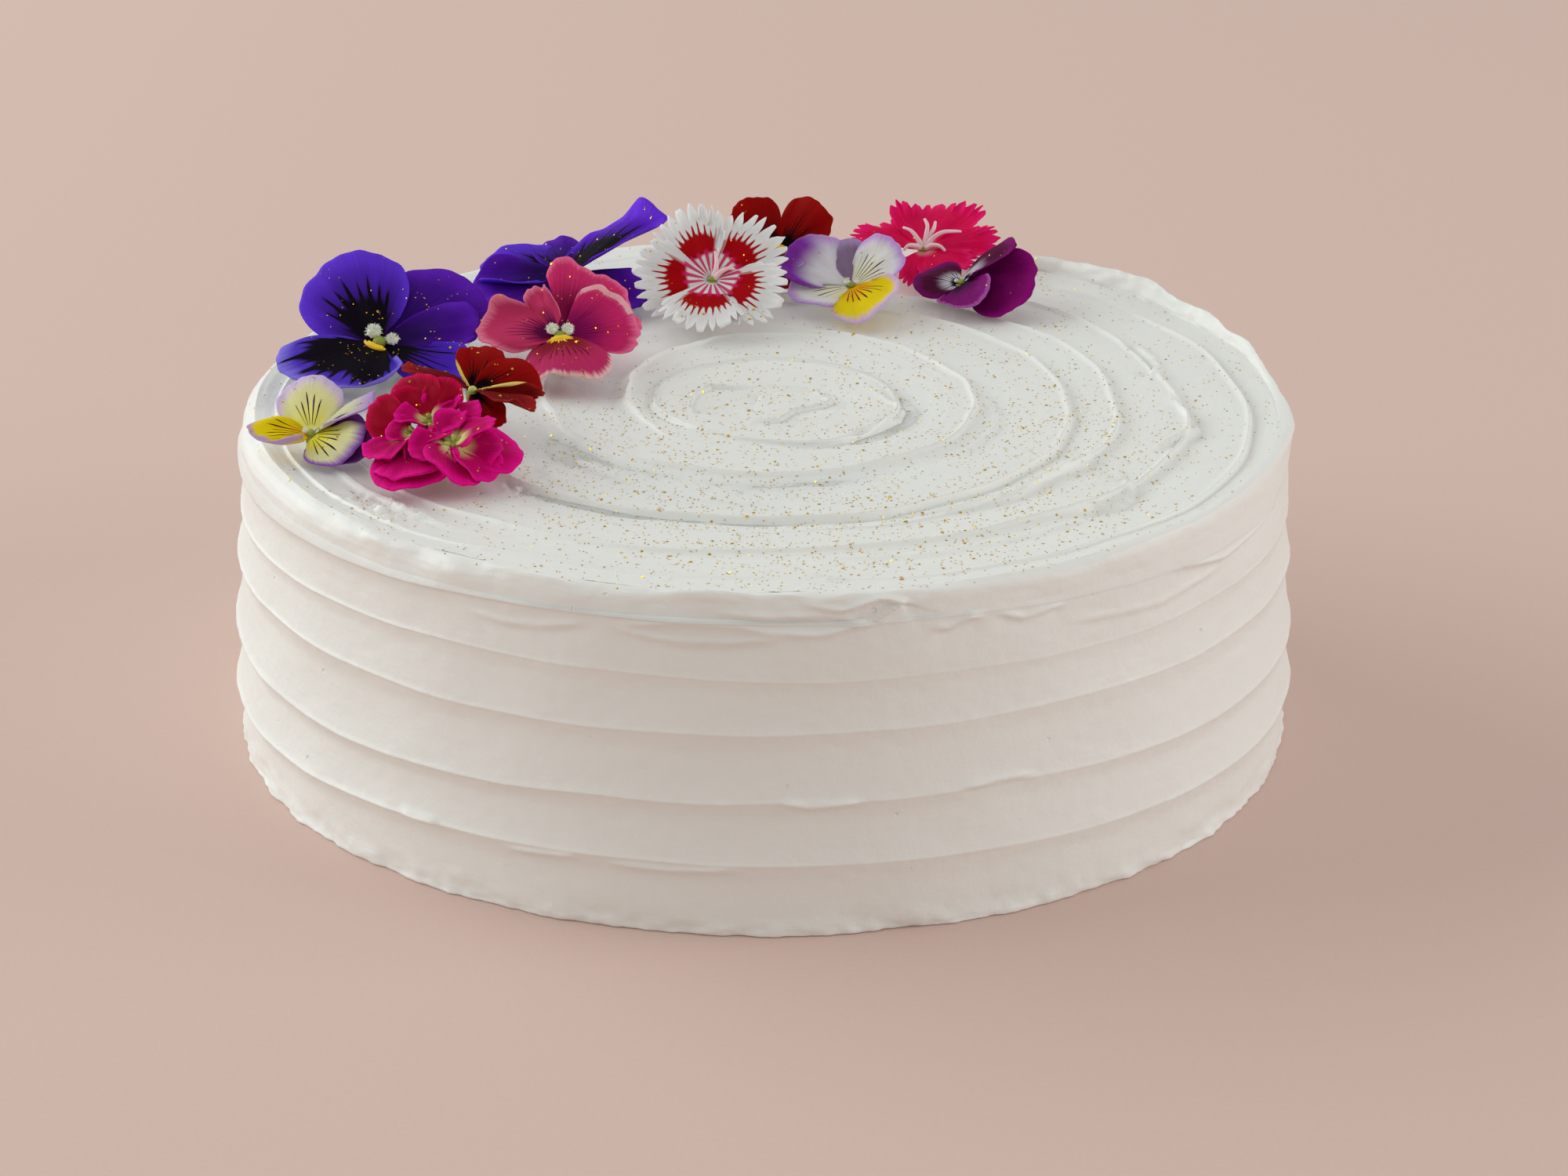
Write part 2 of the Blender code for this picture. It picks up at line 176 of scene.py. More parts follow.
# %% Camera, floor and light
CAMERA_PLACE = (0.00412, -0.82115, 0.36260)
DEGREES_DOWN = 22.3
DEGREES_TILT = 0.33
camera = bpy.data.objects.new("camera", bpy.data.cameras.new("camera"))
camera.data.lens = 99
camera.data.sensor_width = 36
looking_down = Matrix.Rotation(math.radians(90 - DEGREES_DOWN), 4, "X")
tilt = Matrix.Rotation(math.radians(DEGREES_TILT), 4, "Z")
camera.matrix_world = Matrix.Translation(CAMERA_PLACE) @ looking_down @ tilt
bpy.context.scene.collection.objects.link(camera)
bpy.context.scene.camera = camera


def piece_from(name, bm, finishes):
    """A finished piece at the origin, from a mesh in millimetres."""
    bmesh.ops.scale(bm, vec=(MM, MM, MM), verts=bm.verts)
    mesh = bpy.data.meshes.new(name)
    bm.to_mesh(mesh)
    bm.free()
    for finish in finishes:
        mesh.materials.append(finish.material)
    mesh.shade_smooth()
    piece = bpy.data.objects.new(name, mesh)
    bpy.context.scene.collection.objects.link(piece)
    return piece


FLOOR_HALF_WIDTH = 12000
floor_finish = cloudy_finish(
    "pale floor", rgb(0.70, 0.51, 0.445), rgb(0.74, 0.545, 0.48), 900.0, Roughness=0.85
)
bm = bmesh.new()
bmesh.ops.create_grid(bm, x_segments=1, y_segments=1, size=FLOOR_HALF_WIDTH)
floor = piece_from("floor", bm, [floor_finish])


LAMP_DISTANCE = 2.0
LIT_PLACE = Vector((0, 0, 0.04))


def direction(azimuth, climb):
    """A step of length 1, from its azimuth in plan and its climb, in degrees."""
    plan, up = math.radians(azimuth), math.radians(climb)
    return Vector((math.cos(up) * math.cos(plan), math.cos(up) * math.sin(plan), math.sin(up)))


def soft_lamp(name, azimuth, climb, width, height, power, colour):
    """A window-shaped lamp, turned to the cake."""
    place = direction(azimuth, climb) * LAMP_DISTANCE
    lamp = bpy.data.lights.new(name, "AREA")
    lamp.shape = "RECTANGLE"
    lamp.size = width
    lamp.size_y = height
    lamp.energy = power
    lamp.color = colour
    hung = bpy.data.objects.new(name, lamp)
    hung.location = place
    hung.rotation_euler = (LIT_PLACE - place).to_track_quat("-Z", "Y").to_euler()
    bpy.context.scene.collection.objects.link(hung)


soft_lamp("left_window", 162, 27, 2.6, 1.7, 29, (0.93, 1.0, 1.0))
soft_lamp("right_window", -5, 20, 1.2, 1.2, 12, (0.97, 1.0, 1.0))
bpy.context.scene.view_settings.view_transform = "Standard"
world = bpy.data.worlds.new("room")
bpy.context.scene.world = world
world.use_nodes = True
surroundings = world.node_tree.nodes["Background"]
surroundings.inputs["Color"].default_value = rgb(1.0, 0.985, 0.955)
surroundings.inputs["Strength"].default_value = 0.52
print("camera, floor and lamps are in place")

# %% [markdown]
# The knife left a spiral of crests on the top and level crests on the side. The spiral could be one long
# line, but closed lines can be filled in ring by ring with no seam. So a crest is a closed line round the
# top, as (azimuth, radius, strength), and its strength is 0 where one turn of the spiral becomes the next.
# A crest of the side is (height, radius, depth of the hollow below it), and a lift of the rim is (azimuth,
# half width, rise). Azimuths are degrees in plan, 0 to the right and -90 to the front.

# %% Sizes and crests of the icing
TOP_HEIGHT = 67.3
RIM_RADIUS = 104.8
FOOT_RADIUS = 107.6
MIDDLE_RINGS = ((4.0, 0.4), (9.0, 0.9), (15.0, 0.6))
TOP_CRESTS = (
    (
        (-168, 22.1, 1), (-113, 22.1, 0.3), (-62, 27.6, 0.9), (-16, 27.8, 1),
        (35, 24.8, 1), (77, 23.6, 1), (128, 22.6, 1),
    ),
    (
        (-155, 26.8, 0.7), (180, 27.8, 1), (154, 30.5, 1), (122, 35, 1), (99, 39.5, 1),
        (70, 40.8, 0.3), (30, 36.5, 0), (-60, 34, 0), (-118, 30, 0),
    ),
    (
        (67, 43.4, 0.7), (24, 41.6, 1), (-5, 42.6, 1), (-78, 43, 1), (-159, 43.2, 1),
        (-174, 44.1, 0.9), (150, 47.5, 0.3), (110, 47, 0),
    ),
    (
        (48, 60.8, 1), (0, 60.9, 1), (-29, 63.5, 1), (-76, 67, 1), (-121, 66.5, 1),
        (-165, 69, 0.8), (150, 67, 0.4), (90, 60, 0.5),
    ),
    (
        (49, 69.5, 0.8), (28, 72, 1), (1, 70, 1), (-11, 72, 1), (-43, 70.4, 0.6),
        (-90, 73.5, 0), (180, 77, 0), (100, 72, 0.3),
    ),
    (
        (42, 83.8, 1), (11, 81.6, 1), (-10, 86, 1), (-43, 84, 1), (-70, 82, 0.7),
        (-130, 86, 0.5), (180, 88, 0.6), (90, 85, 0.5),
    ),
    (
        (42, 94.8, 1), (-5, 97.4, 1), (-34, 99.6, 0.6), (-90, 98, 0), (-150, 98.5, 0.3),
        (100, 96, 0.5),
    ),
)
SHOULDER = (61.5, 105.7, 0.7)
SIDE_CRESTS = ((51.6, 106.0, 0.8), (41.3, 106.8, 1.3), (27.0, 107.8, 1.5), (14.7, 108.2, 1.3))
RIM_LIFTS = ((42, 20, 3.6), (14, 14, 1.2), (-63, 12, -0.8), (180, 30, -1.2))
print(len(TOP_CRESTS), "crests on the top,", len(SIDE_CRESTS) + 1, "on the side")

# %% [markdown]
# The knife also left short strokes that leave the spiral: the comma in the middle where it began, the
# teardrops where a stroke was lifted, and smears along the rim. They could be painted as a bump, but they
# catch the light too strongly for that. Each is a line with a thin raised lip, a drop on its outer side and
# ends that fade. On the top a line is in plan, on the side it is in (azimuth, height). The rough patches,
# where crumbs of icing were dragged, are (x, y, half width, height).

# %% Short strokes of the knife
Stroke = namedtuple("Stroke", "points lip drop reach")
TOP_STROKES = (
    Stroke(((-13.5, -9), (-15, -2), (-14, 5), (-11, 9), (-6, 8.5), (-1, 11)), 0.45, 1.3, 5.0),
    Stroke(((-1.5, -6.5), (-5.5, -5), (-11, -5), (-13.5, -9)), 0.4, 1.0, 4.0),
    Stroke(((-3.5, -14.5), (-1.5, -11.5), (3, -10.5), (6, -5), (11.5, -2), (13.5, 0.5), (10.5, 6.5), (4, 7),
            (-0.5, 5), (-1.5, -2)), 0.5, 1.2, 4.0),
    Stroke(((14.5, -22), (22.5, -16), (27, -10.5), (28, -5), (25.5, -1.5), (22.5, 6)), 0.5, 1.1, 5.0),
    Stroke(((76, -29), (82, -20), (86.5, -14.5), (84, -6.5), (82, 4)), 0.5, 0.9, 5.0),
    Stroke(((58, -61), (63, -57.5), (67.5, -57.5), (70.5, -52), (70, -45), (66.5, -47)), 0.5, 0.9, 6.0),
    Stroke(((77, 37), (80.5, 28.5), (81.5, 20.5), (78.5, 14)), 0.7, 1.0, 4.0),
    Stroke(((35.5, -30), (41, -26), (45.5, -16.5), (47, -7), (44, 8.5)), 0.3, 0.6, 5.0),
    Stroke(((24, -62.5), (35.5, -61), (48, -54), (55.5, -42.5), (62, -35), (66, -24)), 0.45, 0.5, 5.0),
    Stroke(((-41, -26.5), (-35.5, -35.5), (-24, -48), (-10, -56), (8, -58)), 0.15, 0.35, 6.0),
    Stroke(((-45, -35.5), (-39, -47), (-30, -56.5), (-16.5, -62)), 0.15, 0.3, 5.0),
    Stroke(((-92, -24), (-85, -38), (-76, -52), (-66, -64), (-55, -74)), 0.4, 0.35, 5.0),
    Stroke(((-60, -80), (-48, -84.5), (-33, -90), (-15, -95), (5, -97)), 0.3, 0.2, 4.0),
    Stroke(((8, -86), (30, -83), (52, -72), (66, -60)), 0.2, 0.4, 7.0),
)
SIDE_STROKES = (
    Stroke(((-121, 58.2), (-116, 57.5), (-112, 58.2), (-107, 60)), 0.3, 0.4, 2.0),
    Stroke(((-105, 60), (-102, 58.8), (-98, 58), (-94, 58), (-88, 59)), 0.35, 0.6, 2.5),
    Stroke(((-104, 60.5), (-98, 61.8), (-92, 61.3), (-88, 59.6)), 0.3, 0.4, 2.0),
    Stroke(((-95, 64), (-89, 63.2), (-84, 63.5), (-79, 61.5)), 0.3, 0.4, 2.0),
    Stroke(((-86, 65.6), (-82, 64.3), (-78, 66.4), (-76, 65), (-79, 62), (-84, 60),
            (-90, 60.5)), 0.6, 0.6, 3.0),
    Stroke(((-73, 59.4), (-71, 59.3), (-69, 60.8), (-67.5, 60.5)), 0.4, 0.5, 2.0),
    Stroke(((-66, 60.8), (-63, 58.8), (-58, 60)), 0.3, 0.4, 2.0),
    Stroke(((-44, 60), (-34, 57), (-22, 58), (-12, 61)), 0.3, 0.5, 3.0),
    Stroke(((-58, 56), (-45, 54), (-33, 55.5)), 0.2, 0.3, 2.5),
    Stroke(((-129, 14.6), (-127, 14.3), (-124, 14.6)), 0.55, 0.3, 1.5),
    Stroke(((-116, 13), (-112, 13.4), (-108, 14)), 0.5, 0.3, 1.5),
    Stroke(((-105, 13.5), (-99, 13.2), (-92, 13.9)), 0.5, 0.3, 1.5),
    Stroke(((-88, 27.5), (-85, 26.4), (-80, 27.2)), 0.6, 0.3, 1.5),
    Stroke(((-70, 27.6), (-66, 28.2), (-62, 28)), 0.35, 0.4, 1.5),
)
ROUGH_PATCHES = (
    (-72, -62, 4.5, 2.0), (-66, -66, 4.0, 1.6), (-47, -50, 3.5, 1.4), (-77, -56, 3.0, 1.4), (12, -97, 4.0, 1.0),
)
print(len(TOP_STROKES) + len(SIDE_STROKES), "short strokes")

# %% [markdown]
# The icing could be a smooth disc that is pushed up and down, but then no edge would follow the knife. It
# is grown in rings that lie along the crests instead. All rings have the same number of points, so every
# ring is worked out at once for all azimuths. Between two crests the icing drops sharply, then rises slowly,
# and it ends in a thin raised lip that the knife pushed up.

# %% Rings of the top and the side
SECTORS = 760
AZIMUTHS = np.arange(SECTORS) * 360.0 / SECTORS
ANGLES = np.radians(AZIMUTHS)
ROUNDING = (-3, 0, 3)


def around(points, column):
    """One column of a crest's points at every azimuth, rounded off over a few degrees."""
    table = sorted((point[0] % 360, point[column]) for point in points)
    angles = [row[0] for row in table]
    values = [row[1] for row in table]
    return np.mean([np.interp(AZIMUTHS + step, angles, values, period=360) for step in ROUNDING], axis=0)


def waver(seed, size, slowest, waves):
    """A closed hand-made wander round the cake, in millimetres."""
    random_waves = np.random.default_rng(seed)
    total = np.zeros(SECTORS)
    for wave in range(slowest, slowest + waves):
        total += random_waves.normal() * np.sin(wave * ANGLES + random_waves.uniform(0, 6.28)) / wave
    return size * total / max(1e-6, np.abs(total).max())


def hollow(fraction):
    """Depth between two crests of the top, from 0 to 1: a sharp drop, then a slow rise."""
    return math.sin(min(1.0, fraction / 0.2) * math.pi / 2) * (1 - fraction) ** 1.3


STEPS = (
    0.0, 0.02, 0.045, 0.075, 0.11, 0.15, 0.19, 0.24, 0.29, 0.34, 0.40, 0.46, 0.52, 0.58, 0.64, 0.70, 0.76, 0.82,
    0.875, 0.915, 0.943, 0.965, 0.985,
)
MIDDLE_STEPS = 42
CREST_LIP = 0.62
LIP_OUTSIDE = 0.35
LIP_INSIDE = 0.75
STROKE_DEPTH = 1.25


def top_rings(rim_edge):
    """(radius, height) of each ring on the top, from the middle out to the rim's first ring."""
    rings = []
    first = around(TOP_CRESTS[0], 1) + waver(1, 0.5, 5, 8)
    for fraction in np.linspace(0.03, 0.98, MIDDLE_STEPS):
        radius = first * fraction
        depth = np.interp(radius, [ring[0] for ring in MIDDLE_RINGS], [ring[1] for ring in MIDDLE_RINGS])
        rings.append((radius, TOP_HEIGHT - depth * (1 - fraction**3)))
    starts = [around(crest, 1) + waver(20 + index, 0.6, 6, 16) for index, crest in enumerate(TOP_CRESTS)]
    starts[0] = first
    starts.append(rim_edge)
    for index, crest in enumerate(TOP_CRESTS):
        strength = around(crest, 2)
        following = around(TOP_CRESTS[index + 1], 2) if index + 1 < len(TOP_CRESTS) else 0.0
        width = starts[index + 1] - starts[index]
        for fraction in STEPS:
            lip = CREST_LIP * strength * np.exp(-((fraction * width / LIP_OUTSIDE) ** 2))
            lip = lip + CREST_LIP * following * np.exp(-(((1 - fraction) * width / LIP_INSIDE) ** 2))
            radius = starts[index] + width * fraction
            rings.append((radius, TOP_HEIGHT - STROKE_DEPTH * strength * hollow(fraction) + lip))
    return rings


print("rings of", SECTORS, "points")

# %% [markdown]
# The rim is where the top's last stroke was pulled over the edge. At the back right it stands up as a lip,
# at the front it is torn, and at the left it is rounded off and ends in a small shoulder. Below it the side
# is a stack of shallow scallops: a sharp crest, then a hollow that is deepest just below. One outline spun
# round would make all places alike, so the rim's outline is a short table, and each azimuth takes its own
# share of the lift, the tears and the rounding. A row of the table is (out, drop, share of the lift, share
# of the tears), from the top to the shoulder.

# %% Rim and side
FRONT = np.maximum(0.0, -np.sin(ANGLES))
HIGHER_IN_FRONT = 2.5


def near(centre, half_width):
    """1 at an azimuth, fading to 0 a few half widths away."""
    away = (AZIMUTHS - centre + 180) % 360 - 180
    return np.exp(-((away / half_width) ** 2))


def rim_lift():
    """Height that the rim gains or loses at each azimuth."""
    total = np.zeros(SECTORS)
    for centre, half_width, rise in RIM_LIFTS:
        total += rise * near(centre, half_width)
    return total


def ring_height(height, index):
    """Height of a crest of the side, which wanders a little on its way round."""
    wander = 0.5 * np.sin(2 * ANGLES + index) + 0.4 * np.sin(3 * ANGLES + 2 * index)
    return height - HIGHER_IN_FRONT * (1 - FRONT**2) + wander + waver(40 + index, 0.35, 6, 16)


FRONT_TEARS = near(-128, 14) + 0.8 * near(-100, 10) + near(-84, 8)
RIM_RINGS = 32
RIM_SHAPE = (
    (-1.5, 0.0, 0.15, 0.05),
    (-0.8, -0.05, 0.7, 0.4),
    (-0.1, -0.3, 1.0, 0.9),
    (0.25, -0.8, 0.9, 1.0),
    (0.45, -1.6, 0.8, 0.7),
    (0.52, -2.8, 0.65, 0.4),
    (0.6, -4.2, 0.5, 0.25),
    (0.66, -5.2, 0.4, 0.15),
)


def rim_rings():
    """Rings from the top over the rim and down to the shoulder."""
    lift = rim_lift()
    torn_places = FRONT_TEARS + near(38, 25)
    torn = waver(61, 1.0, 14, 60) * (torn_places + 0.15)
    ragged = waver(62, 0.9, 18, 70) * (torn_places + 0.12)
    smear = 1.6 * near(-5, 7)
    rounded = near(-155, 45)
    lip = 0.2 + 1.3 * near(38, 30) + 0.6 * near(-88, 14)
    rows = range(len(RIM_SHAPE))
    rings = []
    for step in np.linspace(0, rows[-1], RIM_RINGS):
        out, drop, share, ragged_share = (float(np.interp(step, rows, column)) for column in zip(*RIM_SHAPE))
        radius = RIM_RADIUS + out + smear * share * min(1.0, -drop / 2 + 0.5) + ragged * ragged_share
        height = TOP_HEIGHT + drop + lift * share + torn * ragged_share + lip * 0.6 * ragged_share
        radius = radius - rounded * 0.9 * max(0.0, 1 - abs(drop) / 3)
        rings.append((radius, height - rounded * 0.35 * ragged_share))
    return rings


SIDE_STEPS = (
    0.0, 0.015, 0.035, 0.06, 0.09, 0.12, 0.16, 0.20, 0.24, 0.29, 0.34, 0.40, 0.46, 0.52, 0.58, 0.64, 0.70, 0.76,
    0.82, 0.87, 0.91, 0.94, 0.965, 0.985,
)


def cove(fraction):
    """Depth of the side between two crests: curved in below the upper one, and out again to the lower one."""
    return math.sin(min(1.0, fraction / 0.32) * math.pi / 2) * (1 - fraction**2.6)


SIDE_LIP = 0.20


def side_rings():
    """Rings from the shoulder down to the foot, with a hollow between each two crests."""
    lift = rim_lift()
    rings = []
    crests = (SHOULDER, *SIDE_CRESTS, (0.0, FOOT_RADIUS, 0.0))
    sharp = 0.12 + 0.88 * np.clip(near(-155, 58) + 0.5 * near(0, 38), 0, 1)
    for index in range(len(crests) - 1):
        height, radius, depth = crests[index]
        low_height, low_radius, _ = crests[index + 1]
        start = ring_height(height, index)
        if index == 0:
            start = np.minimum(start, TOP_HEIGHT - 5.0 + 0.3 * lift)
        end = ring_height(low_height, index + 1) if low_height else np.zeros(SECTORS)
        strength = depth * (0.36 + 0.76 * sharp)
        share = 0.12 + 0.88 * near(-150, 50) if index == 0 else 1.0
        for fraction in SIDE_STEPS:
            lip = SIDE_LIP * share * sharp * math.exp(-((fraction / 0.02) ** 2))
            if low_height:
                lip = lip + SIDE_LIP * sharp * math.exp(-(((1 - fraction) / 0.04) ** 2))
            out = radius + (low_radius - radius) * fraction - share * strength * cove(fraction) + lip
            rings.append((out, start + (end - start) * fraction))
    return rings


print("the rim lifts by", round(float(rim_lift().max()), 1), "mm at the back right")

# %% [markdown]
# A stroke could be a cutter that is taken away from the icing, but a knife also pushes icing up. So the
# strokes are worked into the rings by distance: each point of the icing takes the lip and the drop of the
# strokes that it lies close to. The left side of a line, seen along its points, is its inner side. A slow
# and a fine sway then make the icing as uneven as a hand leaves it.


# %% Work the strokes in
STROKE_LIP_WIDTH = 0.7
STROKE_DROP_WIDTH = 0.5
TOP_STROKE_SHARE = 1.3
SIDE_STROKE_SHARE = 1.5


def stroke_relief(stroke, x, y, stretch=1.0):
    """Height that a stroke adds at the places (x, y)."""
    points = np.array(stroke.points, float)
    points[:, 0] *= stretch
    lengths = np.hypot(*np.diff(points, axis=0).T)
    total = lengths.sum()
    best = np.full(x.shape, np.inf)
    side = np.zeros(x.shape)
    along = np.zeros(x.shape)
    walked = 0.0
    for (x0, y0), (x1, y1), length in zip(points[:-1], points[1:], lengths):
        ux, uy = (x1 - x0) / length, (y1 - y0) / length
        t = np.clip((x - x0) * ux + (y - y0) * uy, 0, length)
        dx, dy = x - (x0 + t * ux), y - (y0 + t * uy)
        distance = np.hypot(dx, dy)
        closer = distance < best
        best = np.where(closer, distance, best)
        side = np.where(closer, ux * dy - uy * dx, side)
        along = np.where(closer, (walked + t) / total, along)
        walked += length
    ends = np.clip(np.minimum(along, 1 - along) * 6 + 0.05, 0, 1)
    signed = np.where(side < 0, best, -best)
    outside = np.maximum(signed, 0)
    lip = stroke.lip * np.exp(-((signed / STROKE_LIP_WIDTH) ** 2))
    drop = -stroke.drop * (1 - np.exp(-outside / STROKE_DROP_WIDTH)) * np.exp(-outside / stroke.reach)
    return ends * (lip + np.where(signed > 0, drop, 0) * (best < 4 * stroke.reach))


def grow_icing(bm, rings):
    """Rings of icing, each grown from the one before, and closed at the last."""
    edge_loop = [edge for edge in bm.edges if edge.is_boundary or not edge.link_faces]
    for radius, height in rings:
        grown = bmesh.ops.extrude_edge_only(bm, edges=edge_loop)["geom"]
        for vert in grown:
            if isinstance(vert, bmesh.types.BMVert):
                sector = round(math.degrees(math.atan2(vert.co.y, vert.co.x)) * SECTORS / 360) % SECTORS
                angle, reach = ANGLES[sector], radius[sector]
                vert.co = (reach * math.cos(angle), reach * math.sin(angle), height[sector])
        edge_loop = [item for item in grown if isinstance(item, bmesh.types.BMEdge)]
    bmesh.ops.edgeloop_fill(bm, edges=edge_loop)


def sway(x, y, z, scale, seed):
    """Smooth noise at many places, for the small unevenness of hand-spread icing."""
    places = np.stack([x, y, z], axis=-1).reshape(-1, 3) * scale + seed
    values = np.array([noise.noise(place) for place in places.tolist()])
    return values.reshape(x.shape)


over_the_rim = rim_rings()
rings = [*top_rings(over_the_rim[0][0]), *over_the_rim]
rim_start = MIDDLE_STEPS + len(TOP_CRESTS) * len(STEPS)
radii = np.array([ring[0] for ring in rings])
heights = np.array([ring[1] for ring in rings])
plan_x, plan_y = radii * np.cos(ANGLES), radii * np.sin(ANGLES)
for stroke in TOP_STROKES:
    heights[:rim_start] += TOP_STROKE_SHARE * stroke_relief(stroke, plan_x[:rim_start], plan_y[:rim_start])
flat = np.zeros_like(plan_x)
heights += 0.5 * sway(plan_x, plan_y, flat, 0.05, 3.0) * np.clip(radii / 20, 0, 1)
heights += 0.08 * sway(radii * 0.9, np.broadcast_to(AZIMUTHS, radii.shape) * 0.06, flat, 1.0, 9.0)
heights += 0.10 * sway(plan_x, plan_y, flat, 0.35, 6.0) * np.clip(radii / 10, 0, 1)
signed_azimuths = np.broadcast_to((AZIMUTHS + 180) % 360 - 180, radii.shape)
SIDE_RADIUS = 106.5
DEGREE = math.radians(1) * SIDE_RADIUS
for stroke in SIDE_STROKES:
    along_side, up_side = signed_azimuths[rim_start:] * DEGREE, heights[rim_start:]
    radii[rim_start:] += SIDE_STROKE_SHARE * stroke_relief(stroke, along_side, up_side, stretch=DEGREE)
rough_places = FRONT_TEARS + 2.0 * near(35, 30)
rim_x, rim_y, rim_z = plan_x[rim_start:], plan_y[rim_start:], heights[rim_start:]
rough = sway(rim_x, rim_y, rim_z * 2.5, 0.09, 21.0) + 0.3 * sway(rim_x, rim_y, rim_z * 1.6, 0.4, 22.0)
high_share = np.clip((rim_z - TOP_HEIGHT + 4.5) / 3.0, 0, 1)
radii[rim_start:] += rough * (0.30 + 0.5 * rough_places * high_share)
for rough_x, rough_y, half_width, height in ROUGH_PATCHES:
    nearness = np.exp(-((plan_x - rough_x) ** 2 + (plan_y - rough_y) ** 2) / half_width**2)
    crumbs = sway(plan_x, plan_y, flat, 0.45, 31.0) + 0.6 * sway(plan_x, plan_y, flat, 1.1, 33.0)
    heights += height * nearness * np.maximum(crumbs, -0.1)
print("top:", len(radii), "rings")

# %% [markdown]
# The icing is made as four closed pieces, because one mesh with this much relief would be too heavy: the
# middle of the spiral, the rest of the top, the rim and the side. Cut at one line, they would show a dark
# gap there. So each runs on for a few rings just under its neighbour, and the joint closes.

# %% Make the icing
side_detail = side_rings()
side_radii = np.array([ring[0] for ring in side_detail])
side_heights = np.array([ring[1] for ring in side_detail])
signed_azimuths = np.broadcast_to((AZIMUTHS + 180) % 360 - 180, side_radii.shape)
for stroke in SIDE_STROKES:
    relief = stroke_relief(stroke, signed_azimuths * DEGREE, side_heights, stretch=DEGREE)
    side_radii += SIDE_STROKE_SHARE * relief
side_x, side_y = side_radii * np.cos(ANGLES), side_radii * np.sin(ANGLES)
side_radii += 0.30 * sway(side_x, side_y, side_heights * 1.5, 0.06, 5.0)
side_radii += 0.09 * sway(side_x, side_y, side_heights * 1.6, 0.30, 8.0)
side_radii += 0.05 * sway(side_x, side_y, side_heights * 0.6, 0.9, 10.0)
foot_share = np.clip(1 - side_heights / 6.0, 0, 1)
lumps = sway(side_x, side_y, side_heights * 2.0, 0.13, 12.0)
lumps = lumps + 0.5 * sway(side_x, side_y, side_heights * 2.0, 0.45, 14.0)
side_radii += foot_share * (lumps - 0.2)
SINKS = (0.03, 0.25, 0.9)
CORE_INSET = 8.0
CORE_DROP = 2.5


def icing_piece(name, first, last, radii, heights, tuck_in=()):
    """One closed piece from some of the rings, whose ends run on just under its neighbours."""
    bm = bmesh.new()
    rings = list(zip(radii[first:last], heights[first:last]))
    if first or tuck_in:
        inner_radius, inner_height = rings[0]
        bmesh.ops.create_circle(bm, segments=SECTORS, radius=float(inner_radius.min()) - CORE_INSET)
        for vert in bm.verts:
            vert.co.z = float(inner_height.min()) - CORE_DROP
        start_edges = list(bm.edges)
        if not tuck_in:
            tuck_in = [(radii[first - back], heights[first - back] - SINKS[back - 1]) for back in (3, 2, 1)]
        rings = [*tuck_in, *rings]
    else:
        bmesh.ops.create_circle(bm, cap_ends=True, cap_tris=True, segments=SECTORS, radius=0.2)
        for vert in bm.verts:
            vert.co.z = float(rings[0][1].mean())
        start_edges = []
    if last is not None and last < len(radii):
        rings += [(radii[last + on], heights[last + on] - sink) for on, sink in enumerate(SINKS)]
    grow_icing(bm, rings)
    if start_edges:
        bmesh.ops.edgeloop_fill(bm, edges=start_edges)
    bmesh.ops.recalc_face_normals(bm, faces=bm.faces)
    return piece_from(name, bm, [icing_finish])


icing_finish = Finish("white icing", Roughness=0.42)
icing_finish.shader.inputs["Subsurface Weight"].default_value = 0.2
icing_finish.shader.inputs["Subsurface Radius"].default_value = (1.0, 0.75, 0.6)
icing_finish.shader.inputs["Subsurface Scale"].default_value = 0.0015


PAST_CREST = 3
CRESTS_BEFORE_RIM_PIECE = 4
middle_end = MIDDLE_STEPS + PAST_CREST
top_end = MIDDLE_STEPS + CRESTS_BEFORE_RIM_PIECE * len(STEPS) + PAST_CREST
icing_middle = icing_piece("icing_middle", 0, middle_end, radii, heights)
icing_top = icing_piece("icing_top", middle_end - 1, top_end, radii, heights)
shoulder_height, shoulder_radius = side_heights[0], side_radii[0]
ledge = 0.45 * np.clip(near(-150, 50), 0, 1) + 0.15 * near(-105, 15)
rim_radii = np.vstack([radii, [shoulder_radius + ledge, shoulder_radius + 0.7 * ledge], side_radii[1:4] - 0.03])
rim_heights = np.vstack([heights, [shoulder_height + 0.5, shoulder_height + 0.02], side_heights[1:4]])
icing_rim = icing_piece("icing_rim", top_end - 1, len(rim_radii), rim_radii, rim_heights)
inside = [(shoulder_radius - 1.6, shoulder_height + 1.5), (shoulder_radius - 0.04, shoulder_height + 0.5)]
side_radii = np.vstack([side_radii, side_radii[-1] - 0.4])
side_heights = np.vstack([side_heights, np.zeros(SECTORS)])
icing_side = icing_piece("icing_side", 0, None, side_radii, side_heights, inside)
for piece in (icing_middle, icing_top, icing_rim, icing_side):
    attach(piece, "root")
    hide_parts("iced_cake")
    print(piece.name, sum(len(face.vertices) - 2 for face in piece.data.polygons), "triangles")

# %% [markdown]
# Whipped icing is white, a little glossy, and lets some light in. Three things break it up close by: tiny
# pits where air bubbles opened, a fine grain, and faint scratches that follow the knife round the cake. They
# are far too small for the mesh, so they are a bump, and its scratches are noise stretched along the angle.

